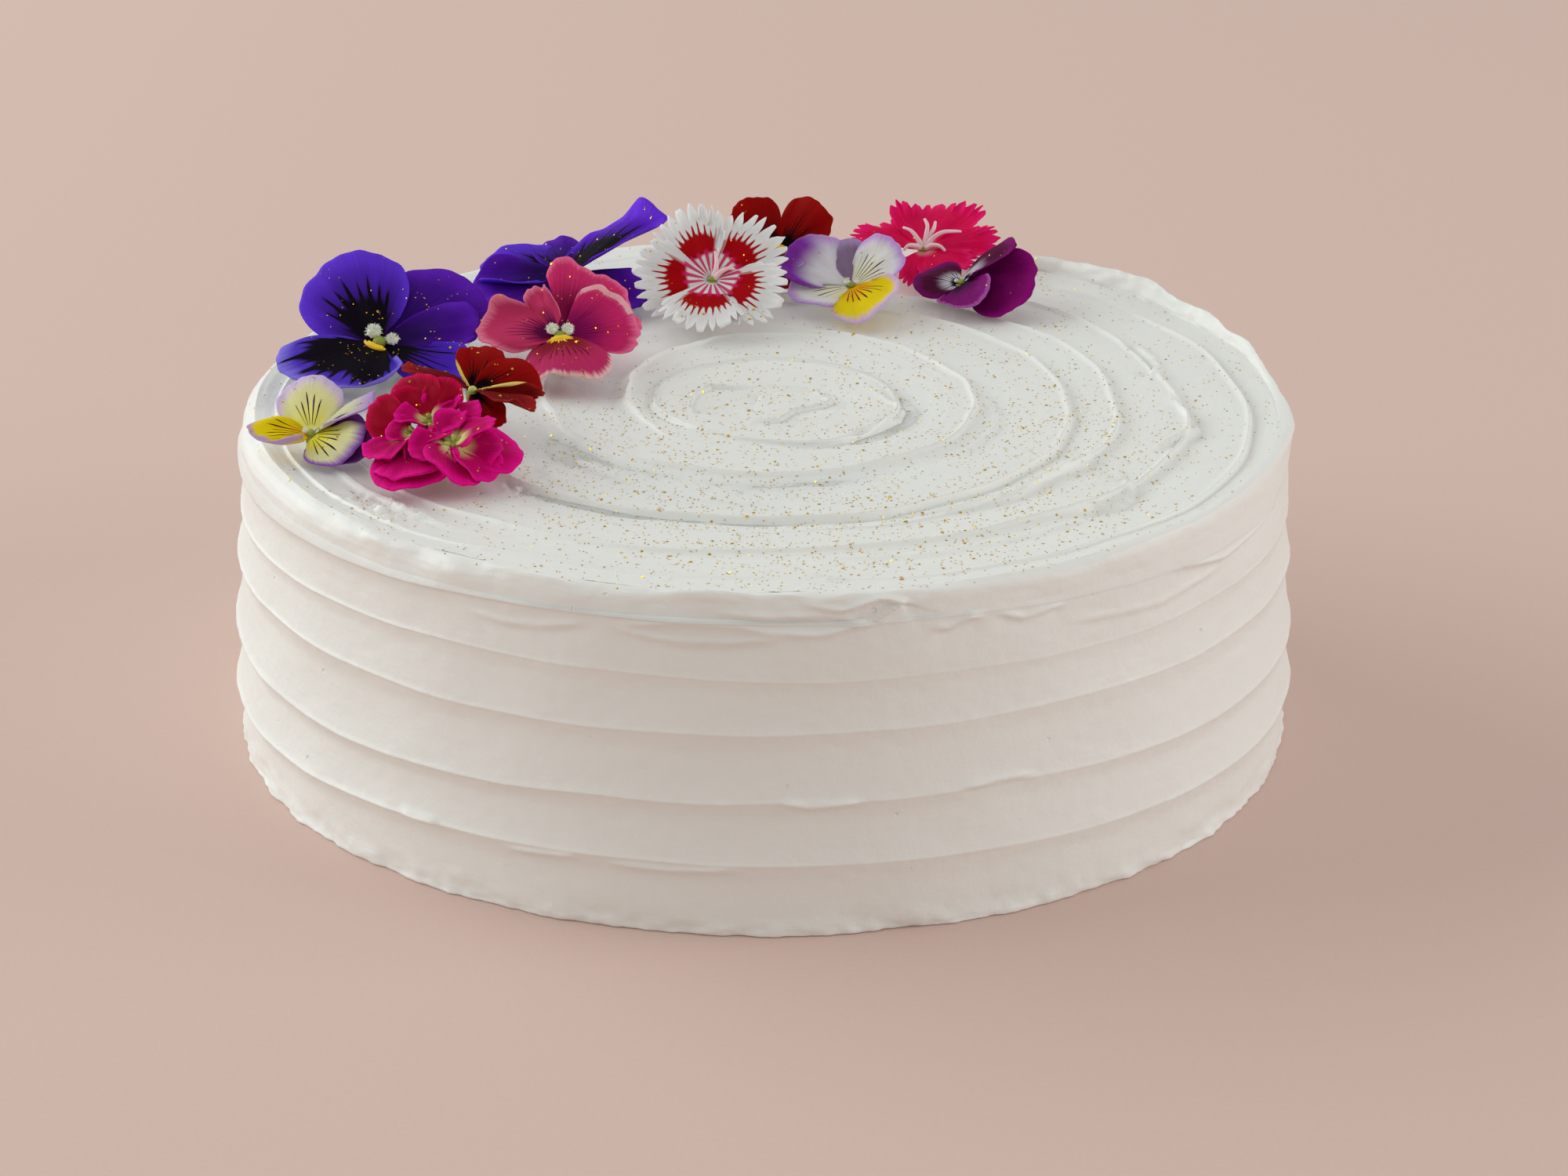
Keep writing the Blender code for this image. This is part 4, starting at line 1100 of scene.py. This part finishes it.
colour = ringed.blend(band * sides, Wire(ringed, petal_colour), crimson)
colour = ringed.blend(centre * 0.95, colour, rgb(0.64, 0.008, 0.14))
ringed.plug(ringed.shader.inputs["Base Color"], colour)
print("the ring starts at", RING_START, "of a petal's length, and its rays reach out from", RING_END)

# %% [markdown]
# The petals are grown from flat grids. Each point of a grid knows how far across and along its petal it
# lies, and is moved to its place in one step: out along the fan, bent, rolled, waved at the margin, notched
# on a pink. A petal that would sink into the icing lies just above it instead. Cloth settled by simulation
# would lose the measured outlines, and a petal is stiff enough to keep its own curve.

# %% Petal shapes
LYING_HEIGHT = 1.0
EASING = 1.5


def eye_of(head):
    """The middle of a flower's face."""
    return Vector((head.x, head.y, TOP_HEIGHT + head.height))


def rest(height):
    """Height of a petal where it would sink into the icing: just above it, in a smooth curve."""
    above = height - (TOP_HEIGHT + LYING_HEIGHT)
    if above < EASING:
        above = EASING * math.exp(above / EASING - 1)
    return TOP_HEIGHT + LYING_HEIGHT + above


def petal_axes(head, petal):
    """A petal's own directions: along its length, to its side and out of its face."""
    length_way = direction(petal.azimuth, petal.climb)
    face = direction(head.lean_azimuth, 90 - head.lean)
    side_way = length_way.cross(face).normalized()
    up_way = side_way.cross(length_way)
    turn = Matrix.Rotation(-math.radians(petal.roll), 3, length_way)
    return length_way, turn @ side_way, turn @ up_way


def petal_place(head, petal, axes, margin, curls, seed, across, along):
    """Point on a petal, with the waves, teeth and curls of its margin."""
    outline = math.cos(across * 0.97 * math.pi / 2) ** petal.fullness
    reach = petal.length * outline * (1 + petal.skew * across)
    uneven = noise.noise((across * 2.6, seed * 1.9, 0.4)) + 0.6 * noise.noise((across * 7.0, seed, 5.0))
    reach *= 1 + 1.4 * margin.lobes * uneven * along
    if margin.fringe:
        tooth = (across + 1) / 2 * margin.fringe + 0.45 * noise.noise((across * 5, seed, 2.0))
        point = abs(tooth - round(tooth)) * 2
        depth = margin.notch * (1 + 0.75 * noise.noise((math.floor(tooth + 0.5) * 1.37, seed, 7.0)))
        small = abs(2.5 * tooth - round(2.5 * tooth)) * 2
        reach *= 1.04 - (depth * point**2 + 0.03 * small) * max(0.0, (along - 0.5) / 0.5) ** 1.5
    distance = 1.0 + (reach - 1.0) * along
    angle = math.radians(petal.spread) * across
    sideways, forward = distance * math.sin(angle), distance * math.cos(angle)

    half_bend = math.radians(petal.bend) / 2
    turned = half_bend - 2 * half_bend * forward / petal.length
    out = petal.length * (math.sin(half_bend) - math.sin(turned)) / (2 * half_bend)
    rise = petal.length * (math.cos(turned) - math.cos(half_bend)) / (2 * half_bend)
    rise += petal.cup * sideways**2 / petal.length
    ruffle = math.sin(margin.waves * 2 * across + seed + 2.0 * noise.noise((across * 1.5, seed, 1.0)))
    rise += margin.ruffle * (ruffle + 0.5 * noise.noise((across * 6.0, along * 2.0, seed))) * along**2.5
    rise += 0.7 * noise.noise((across * 2.2, along * 2.0, seed * 3.1)) * min(1.0, along * 2)
    for curl in curls:
        share = max(0.0, along - curl.start) / (1 - curl.start)
        rise += curl.rise * share**1.8 * math.exp(-(((across - curl.side) / curl.width) ** 2))

    length_way, side_way, up_way = axes
    point = eye_of(head) + length_way * out + side_way * sideways + up_way * rise
    point.z = rest(point.z)
    return point


PETAL_CELLS = (48, 24)
FRINGED_CELLS = (120, 18)
TUFT_CELLS = (34, 18)
PETAL_THICKNESS = 0.28


def make_petals(name, heads):
    """All petals of one flower, as one thin piece with a paint for each petal."""
    bm = bmesh.new()
    bm.loops.layers.uv.new("petal")
    margin = MARGINS[name]
    cells = FRINGED_CELLS if margin.fringe else TUFT_CELLS if len(heads) > 1 else PETAL_CELLS
    names = sorted({petal.paint for head in heads for petal in head.petals})
    for head_index, head in enumerate(heads):
        for index, petal in enumerate(head.petals):
            made = bmesh.ops.create_grid(bm, x_segments=cells[0], y_segments=cells[1], size=1, calc_uvs=True)
            axes = petal_axes(head, petal)
            curls = CURLS.get((name, head_index, index), ())
            seed = 1.7 * index + 2.9 * head_index
            for vert in made["verts"]:
                vert.co = petal_place(head, petal, axes, margin, curls, seed, vert.co.x, (vert.co.y + 1) / 2)
            for face in {face for vert in made["verts"] for face in vert.link_faces}:
                face.material_index = names.index(petal.paint)
    piece = piece_from(name + "_petals", bm, [PAINTS[paint] for paint in names])
    wall = piece.modifiers.new("thickness", "SOLIDIFY")
    wall.thickness = PETAL_THICKNESS * MM
    wall.offset = 0
    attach(piece, "root")
    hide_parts(name)
    return piece


flowers = {}
for name, heads in FLOWERS.items():
    flowers[name] = make_petals(name, heads)
print("petal pieces:", len(flowers))

# %% [markdown]
# The heart of each flower is what makes it a pansy, a viola or a pink. A pansy has a green knob over a
# yellow lip, between two white tufts of hair. A pink has long curled styles. Painted on, they would look
# flat from the side, so they are real shapes: threads, which are rings of points drawn along a line, small
# cones for the hairs, and round knobs. Each flower stands on a stub of stem that reaches the icing.

# %% Threads, tufts and knobs
GREEN = cloudy_finish("young green", rgb(0.20, 0.27, 0.02), rgb(0.34, 0.38, 0.05), 700.0, Roughness=0.5)
LEMON = cloudy_finish("yellow lip", rgb(0.96, 0.50, 0.001), rgb(0.98, 0.72, 0.01), 500.0, Roughness=0.5)
DOWN = cloudy_finish("white down", rgb(0.80, 0.84, 0.66), rgb(0.92, 0.92, 0.86), 400.0, Roughness=0.7)
BLUSH = cloudy_finish("pale pink style", rgb(0.92, 0.78, 0.76), rgb(0.88, 0.42, 0.54), 350.0, Roughness=0.5)
CREAM = cloudy_finish(
    "cream base of a petal", rgb(0.46, 0.50, 0.06), rgb(0.66, 0.64, 0.24), 350.0, Roughness=0.5
)
HEART_FINISHES = [GREEN, LEMON, DOWN, BLUSH, CREAM]


def face_frame(head):
    """Right, up and outward directions of a flower's face."""
    outward = direction(head.lean_azimuth, 90 - head.lean)
    right = Vector((0, 0, 1)).cross(outward).normalized()
    return right, outward.cross(right), outward


def on_face(head, right, up, out):
    """A place near the eye, in millimetres along the face's own directions."""
    axes = face_frame(head)
    return eye_of(head) + axes[0] * right + axes[1] * up + axes[2] * out


def new_faces(bm, before, finish):
    """Everything that was added since the count before gets one finish."""
    bm.faces.ensure_lookup_table()
    for face in bm.faces[before:]:
        face.material_index = HEART_FINISHES.index(finish)


def add_thread(bm, points, radii, finish, sides):
    """A closed round thread along a line of points."""
    before = len(bm.faces)
    made = bmesh.ops.create_circle(bm, segments=sides, radius=1.0)
    circle = list(made["verts"])
    shape = [vert.co.copy() for vert in circle]
    loop = list({edge for vert in circle for edge in vert.link_edges})
    bmesh.ops.edgeloop_fill(bm, edges=loop)
    for index, (point, radius) in enumerate(zip(points, radii)):
        ahead = points[min(index + 1, len(points) - 1)] - points[max(index - 1, 0)]
        turn = ahead.to_track_quat("Z", "Y")
        if index:
            grown = bmesh.ops.extrude_edge_only(bm, edges=loop)["geom"]
            new_verts = [item for item in grown if isinstance(item, bmesh.types.BMVert)]
            ordered = []
            for old in circle:
                linked = [edge.other_vert(old) for edge in old.link_edges]
                ordered.append(next(vert for vert in linked if vert in new_verts))
            circle = ordered
            loop = [item for item in grown if isinstance(item, bmesh.types.BMEdge)]
        for vert, corner in zip(circle, shape):
            vert.co = point + turn @ (corner * radius)
    bmesh.ops.edgeloop_fill(bm, edges=loop)
    new_faces(bm, before, finish)


def curve_points(corners, steps=5):
    """A smooth line through corners, as a chain of short steps."""
    corners = [Vector(corner) for corner in corners]
    padded = [2 * corners[0] - corners[1], *corners, 2 * corners[-1] - corners[-2]]
    line = []
    for index in range(1, len(padded) - 2):
        a, b, c, d = padded[index - 1 : index + 3]
        for step in range(steps):
            t = step / steps
            square = (2 * a - 5 * b + 4 * c - d) * t**2
            cube = (3 * b - a - 3 * c + d) * t**3
            line.append(0.5 * (2 * b + (c - a) * t + square + cube))
    line.append(padded[-2])
    return line


def add_knob(bm, centre, radius, finish, squash=0.8):
    """A round knob, a little flattened."""
    before = len(bm.faces)
    shape = Matrix.Translation(centre) @ Matrix.Diagonal((radius, radius, radius * squash, 1))
    bmesh.ops.create_uvsphere(bm, u_segments=14, v_segments=9, radius=1.0, matrix=shape)
    new_faces(bm, before, finish)


def add_cone(bm, root, way, length, thick, thin, sides=5):
    """A cone from its root along one direction."""
    shape = Matrix.Translation(root + way * length / 2) @ way.to_track_quat("Z", "Y").to_matrix().to_4x4()
    bmesh.ops.create_cone(
        bm, cap_ends=True, segments=sides, radius1=thick, radius2=thin, depth=length, matrix=shape
    )


def add_tuft(bm, head, right, up, size, hairs, chance):
    """A downy mound with short white hairs that stand out all over it."""
    middle = on_face(head, right, up, 0.35 * size)
    add_knob(bm, middle, 0.56 * size, DOWN, 0.75)
    before = len(bm.faces)
    axes = face_frame(head)
    for _ in range(hairs):
        way = axes[2] * chance.uniform(0.0, 1.2) + axes[0] * chance.gauss(0, 0.7)
        way += axes[1] * chance.gauss(0, 0.7)
        way.normalize()
        add_cone(bm, middle + way * 0.35 * size, way, size * chance.uniform(0.24, 0.46), 0.10, 0.03)
    new_faces(bm, before, DOWN)


def on_lower_petal(name, head, across, distance, out):
    """A place just over the last petal of a head, at a distance from the eye."""
    petal = head.petals[-1]
    point = petal_place(head, petal, petal_axes(head, petal), MARGINS[name], (), 0.0, across, 0.25)
    return eye_of(head) + (point - eye_of(head)).normalized() * distance + face_frame(head)[2] * out


CRESCENT_STEPS = 12


def add_crescent(bm, name, head, start, end, radius, thickness, finish):
    """A raised lip round the root of the lower petal, from one side of it to the other."""
    points = []
    radii = []
    for step in range(CRESCENT_STEPS + 1):
        share = step / CRESCENT_STEPS
        points.append(on_lower_petal(name, head, start + (end - start) * share, radius, 0.25))
        radii.append(thickness * (0.30 + 0.70 * math.sin(math.pi * share) ** 0.6))
    add_thread(bm, points, radii, finish, sides=8)


def add_spikes(bm, name, head, half, start, reach, count, finish):
    """Short pointed marks that fan out from the lip of the eye."""
    before = len(bm.faces)
    for step in range(count):
        across = half * (2 * (step + 0.5) / count - 1)
        root = on_lower_petal(name, head, across, start, 0.1)
        tip = on_lower_petal(name, head, across, reach * (0.8 + 0.2 * (step % 2)), 0.30)
        add_cone(bm, root, (tip - root).normalized(), (tip - root).length, 0.45, 0.08, 6)
    new_faces(bm, before, finish)


STEM_RADII = (0.9, 0.9, 0.95, 1.0, 1.1, 1.2, 1.3)


def add_stem(bm, head, foot):
    """A stub of stem from the icing to the eye, wider at the top."""
    line = curve_points([foot, (foot + eye_of(head)) / 2, eye_of(head)], 3)
    add_thread(bm, line, STEM_RADII, GREEN, 9)


def stem_foot(heads):
    """Where the stems of a flower, or of a tuft of flowers, reach the icing."""
    foot = sum((eye_of(head) for head in heads), Vector()) / len(heads)
    foot.z = TOP_HEIGHT + (0.35 if len(heads) == 1 else 1.25)
    return foot


print("heart finishes:", [finish.material.name for finish in HEART_FINISHES])

# %% [markdown]
# Places on a face are in millimetres to the right of the eye, above it and out of it. The two pansies that
# show their eyes have the largest tufts, and the violas small ones.

# %% Hearts
Tuft = namedtuple("Tuft", "right up size hairs")
Crescent = namedtuple("Crescent", "start end radius thickness finish")
Spikes = namedtuple("Spikes", "half start reach count finish")
Heart = namedtuple("Heart", "knob knob_finish tufts crescents spikes styles")
HEARTS = {
    "blue_pansy_front": Heart(
        1.5, GREEN, (Tuft(-1.1, 2.2, 2.6, 220), Tuft(2.6, 0.1, 2.2, 180)),
        (Crescent(-1.0, 0.95, 2.3, 0.62, LEMON), Crescent(-1.0, 0.95, 3.1, 0.58, LEMON)), (), (),
    ),
    "yellow_viola": Heart(
        0.9, GREEN, (Tuft(-0.9, 1.0, 1.2, 40), Tuft(1.1, 0.7, 1.2, 40)), (), (), (),
    ),
    "stock_cluster": Heart(0.7, GREEN, (), (), (), ()),
    "red_viola_left": Heart(
        0.9, CREAM, (Tuft(-0.4, -0.6, 0.8, 20),), (), (), (),
    ),
    "pink_pansy": Heart(
        1.2, GREEN, (Tuft(-1.5, 1.2, 2.1, 160), Tuft(1.6, 1.1, 2.1, 160)),
        (Crescent(-1.0, 1.0, 1.7, 0.8, LEMON),), (Spikes(0.9, 1.5, 4.0, 11, LEMON),), (),
    ),
    "blue_pansy_rear": Heart(0.9, GREEN, (Tuft(-1.2, 0.9, 1.3, 30), Tuft(1.2, 0.9, 1.3, 30)), (), (), ()),
    "white_dianthus": Heart(
        0.8, GREEN, (), (), (),
        (
            ((0.3, 0.2, 0.4), (0.9, 2.2, 1.6), (0.8, 5.0, 2.0), (0.4, 7.4, 1.5)),
            ((0.4, 0.0, 0.4), (1.8, 0.9, 1.6), (3.4, 1.6, 2.0), (4.8, 1.8, 1.4)),
        ),
    ),
    "red_viola_rear": Heart(1.4, LEMON, (), (), (), ()),
    "lilac_viola": Heart(
        0.8, GREEN, (Tuft(-1.0, 0.9, 1.4, 50), Tuft(1.2, 0.9, 1.4, 50)), (), (), (),
    ),
    "crimson_dianthus": Heart(
        0.9, GREEN, (), (), (),
        (
            ((0, 0, 0.5), (-1.2, 1.2, 2.0), (-2.6, 2.8, 3.0), (-4.4, 4.4, 2.6)),
            ((0.2, 0, 0.5), (0.6, 1.8, 2.6), (0.8, 3.6, 4.0), (0.2, 5.2, 4.4)),
            ((0.3, 0, 0.5), (1.8, 1.0, 2.4), (4.0, 2.0, 3.4), (6.6, 2.8, 3.0), (8.2, 3.4, 2.4)),
            ((0.3, -0.1, 0.5), (1.8, -0.4, 1.8), (3.6, -1.2, 2.2), (5.0, -2.4, 1.4)),
            ((-0.3, 0, 0.5), (-1.8, -0.2, 1.4), (-3.4, -0.6, 1.8), (-4.4, -1.4, 1.2)),
            ((0.1, 0.1, 0.5), (1.0, 1.6, 2.2), (2.2, 3.0, 3.6), (2.6, 4.6, 4.2)),
        ),
    ),
    "purple_viola": Heart(0.8, GREEN, (Tuft(-0.9, 0.7, 0.9, 24), Tuft(0.8, 0.9, 0.9, 24)), (), (), ()),
}
chance = random.Random(5)
for name, heads in FLOWERS.items():
    heart = HEARTS[name]
    bm = bmesh.new()
    for head in heads:
        add_stem(bm, head, stem_foot(heads))
        add_knob(bm, on_face(head, 0, 0, 0.5), heart.knob, heart.knob_finish)
        for tuft in heart.tufts:
            add_tuft(bm, head, tuft.right, tuft.up, tuft.size, tuft.hairs, chance)
        for crescent in heart.crescents:
            add_crescent(bm, name, head, *crescent)
        for spikes in heart.spikes:
            add_spikes(bm, name, head, *spikes)
        for style in heart.styles:
            line = curve_points([on_face(head, *corner) for corner in style])
            add_thread(bm, line, [0.70 - 0.42 * step / len(line) for step in range(len(line))], BLUSH, 6)
        if name == "stock_cluster":
            for turn in range(6):
                angle = turn * 1.05 + head.x
                root = on_face(head, 0.5 * math.cos(angle), 0.5 * math.sin(angle), 0.0)
                tip = on_face(head, 1.9 * math.cos(angle), 1.5 * math.sin(angle), 1.5)
                add_thread(bm, [root, (root + tip) / 2, tip], [0.75, 0.65, 0.25], [CREAM, GREEN][turn % 2], 6)
    bmesh.ops.recalc_face_normals(bm, faces=bm.faces)
    piece = piece_from(name + "_heart", bm, HEART_FINISHES)
    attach(piece, "root")
    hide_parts(name)
print("hearts:", len(HEARTS))

# %% [markdown]
# Gold glitter was shaken over the cake last. It could be bright specks in the icing's finish, but specks
# don't catch the light one by one. So the flakes are flat six-sided plates, mostly 0.2 to 0.4 mm across and
# a few up to 0.7 mm, dropped from above on whatever lies below: icing or petal. They are denser at the front
# and the right of the top, and in a few small clumps, which are (x, y, spread, weight).

# %% Gold glitter
gold = cloudy_finish(
    "gold flake", rgb(0.56, 0.32, 0.005), rgb(1.0, 0.66, 0.05), 1500.0, 1.0, Roughness=0.25, Metallic=1.0
)
bpy.context.view_layer.update()
graph = bpy.context.evaluated_depsgraph_get()
icing_trees = [BVHTree.FromObject(piece, graph) for piece in (icing_middle, icing_top, icing_rim)]
petal_trees = [BVHTree.FromObject(piece, graph) for piece in flowers.values()]
CLUMPS = (
    (62, -12, 14, 1.2), (45, -62, 16, 0.9), (20, -76, 20, 1.2), (-12, -72, 20, 1.2), (60, -38, 14, 0.8),
    (-72, -62, 5, 1.2), (-38, -45, 16, 1.0), (-30, -12, 16, 0.6), (0, -25, 26, 0.6), (34, 20, 26, 0.5),
    (8, 10, 14, 0.5),
)
ICING_FLAKES = 5400
PETAL_FLAKES = 900
DROP_RADIUS = 104
DROP_FROM = 0.2
SMALL_FLAKE, LARGE_FLAKE, SMALL_SHARE = (0.09, 0.19), (0.25, 0.36), 0.93
FLAKE_THICKNESS = 0.05
BATCH = 200


def glitter_share(x, y):
    """How much of the glitter lies round a place of the top, from 0 to about 2."""
    total = 0.3
    for centre_x, centre_y, spread, weight in CLUMPS:
        total += weight * math.exp(-((x - centre_x) ** 2 + (y - centre_y) ** 2) / (2 * spread**2))
    return total


def highest_hit(trees, x, y):
    """The first surface that something dropped at (x, y) meets, or None."""
    hits = [tree.ray_cast(Vector((x * MM, y * MM, DROP_FROM)), Vector((0, 0, -1))) for tree in trees]
    hits = [hit for hit in hits if hit[0] is not None]
    return max(hits, key=lambda hit: hit[0].z) if hits else None


def drop_flake(x, y):
    """(place, normal, fell on a petal) where a flake dropped at (x, y) lands, or None."""
    on_petal = highest_hit(petal_trees, x, y)
    hit = on_petal or highest_hit(icing_trees, x, y)
    return (hit[0] * 1000, hit[1], bool(on_petal)) if hit else None


def flake_spots():
    """(place, normal) of each flake, thinned out to the shares above."""
    found = {"icing": 0, "petals": 0}
    while found["icing"] < ICING_FLAKES:
        radius, angle = DROP_RADIUS * math.sqrt(chance.random()), chance.uniform(0, 2 * math.pi)
        x, y = radius * math.cos(angle), radius * math.sin(angle)
        wanted = chance.random() * 1.6 < glitter_share(x, y)
        if not wanted and not (x < 0 and y > -40):
            continue
        landed = drop_flake(x, y)
        if landed is None:
            continue
        spot, normal, on_petal = landed
        clump = noise.noise(spot * 0.22) + 0.5 * noise.noise(spot * 0.6)
        if on_petal and (found["petals"] > PETAL_FLAKES or chance.random() > 0.15 + 1.6 * clump):
            continue
        if not on_petal and not wanted:
            continue
        found["petals" if on_petal else "icing"] += 1
        yield spot, normal if normal.z > 0 else -normal
    print("flakes:", found)


bm = bmesh.new()
batch = bmesh.new()
batch_mesh = bpy.data.meshes.new("flake_batch")
for index, (spot, normal) in enumerate(flake_spots()):
    tilt = Vector((chance.gauss(0, 0.35), chance.gauss(0, 0.35), chance.gauss(0, 0.2)))
    turn = (normal + tilt).to_track_quat("Z", "Y").to_matrix().to_4x4()
    size = chance.uniform(*(SMALL_FLAKE if chance.random() < SMALL_SHARE else LARGE_FLAKE))
    shape = Matrix.Translation(spot + normal * FLAKE_THICKNESS) @ turn
    bmesh.ops.create_cone(
        batch, cap_ends=True, segments=6, radius1=size, radius2=size, depth=FLAKE_THICKNESS, matrix=shape
    )
    if index % BATCH == BATCH - 1:
        batch.to_mesh(batch_mesh)
        bm.from_mesh(batch_mesh)
        batch.clear()
batch.to_mesh(batch_mesh)
bm.from_mesh(batch_mesh)
batch.free()
bpy.data.meshes.remove(batch_mesh)
glitter = piece_from("gold_glitter", bm, [gold])
for polygon in glitter.data.polygons:
    polygon.use_smooth = False
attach(glitter, "root")
print("glitter:", len(glitter.data.polygons), "faces")
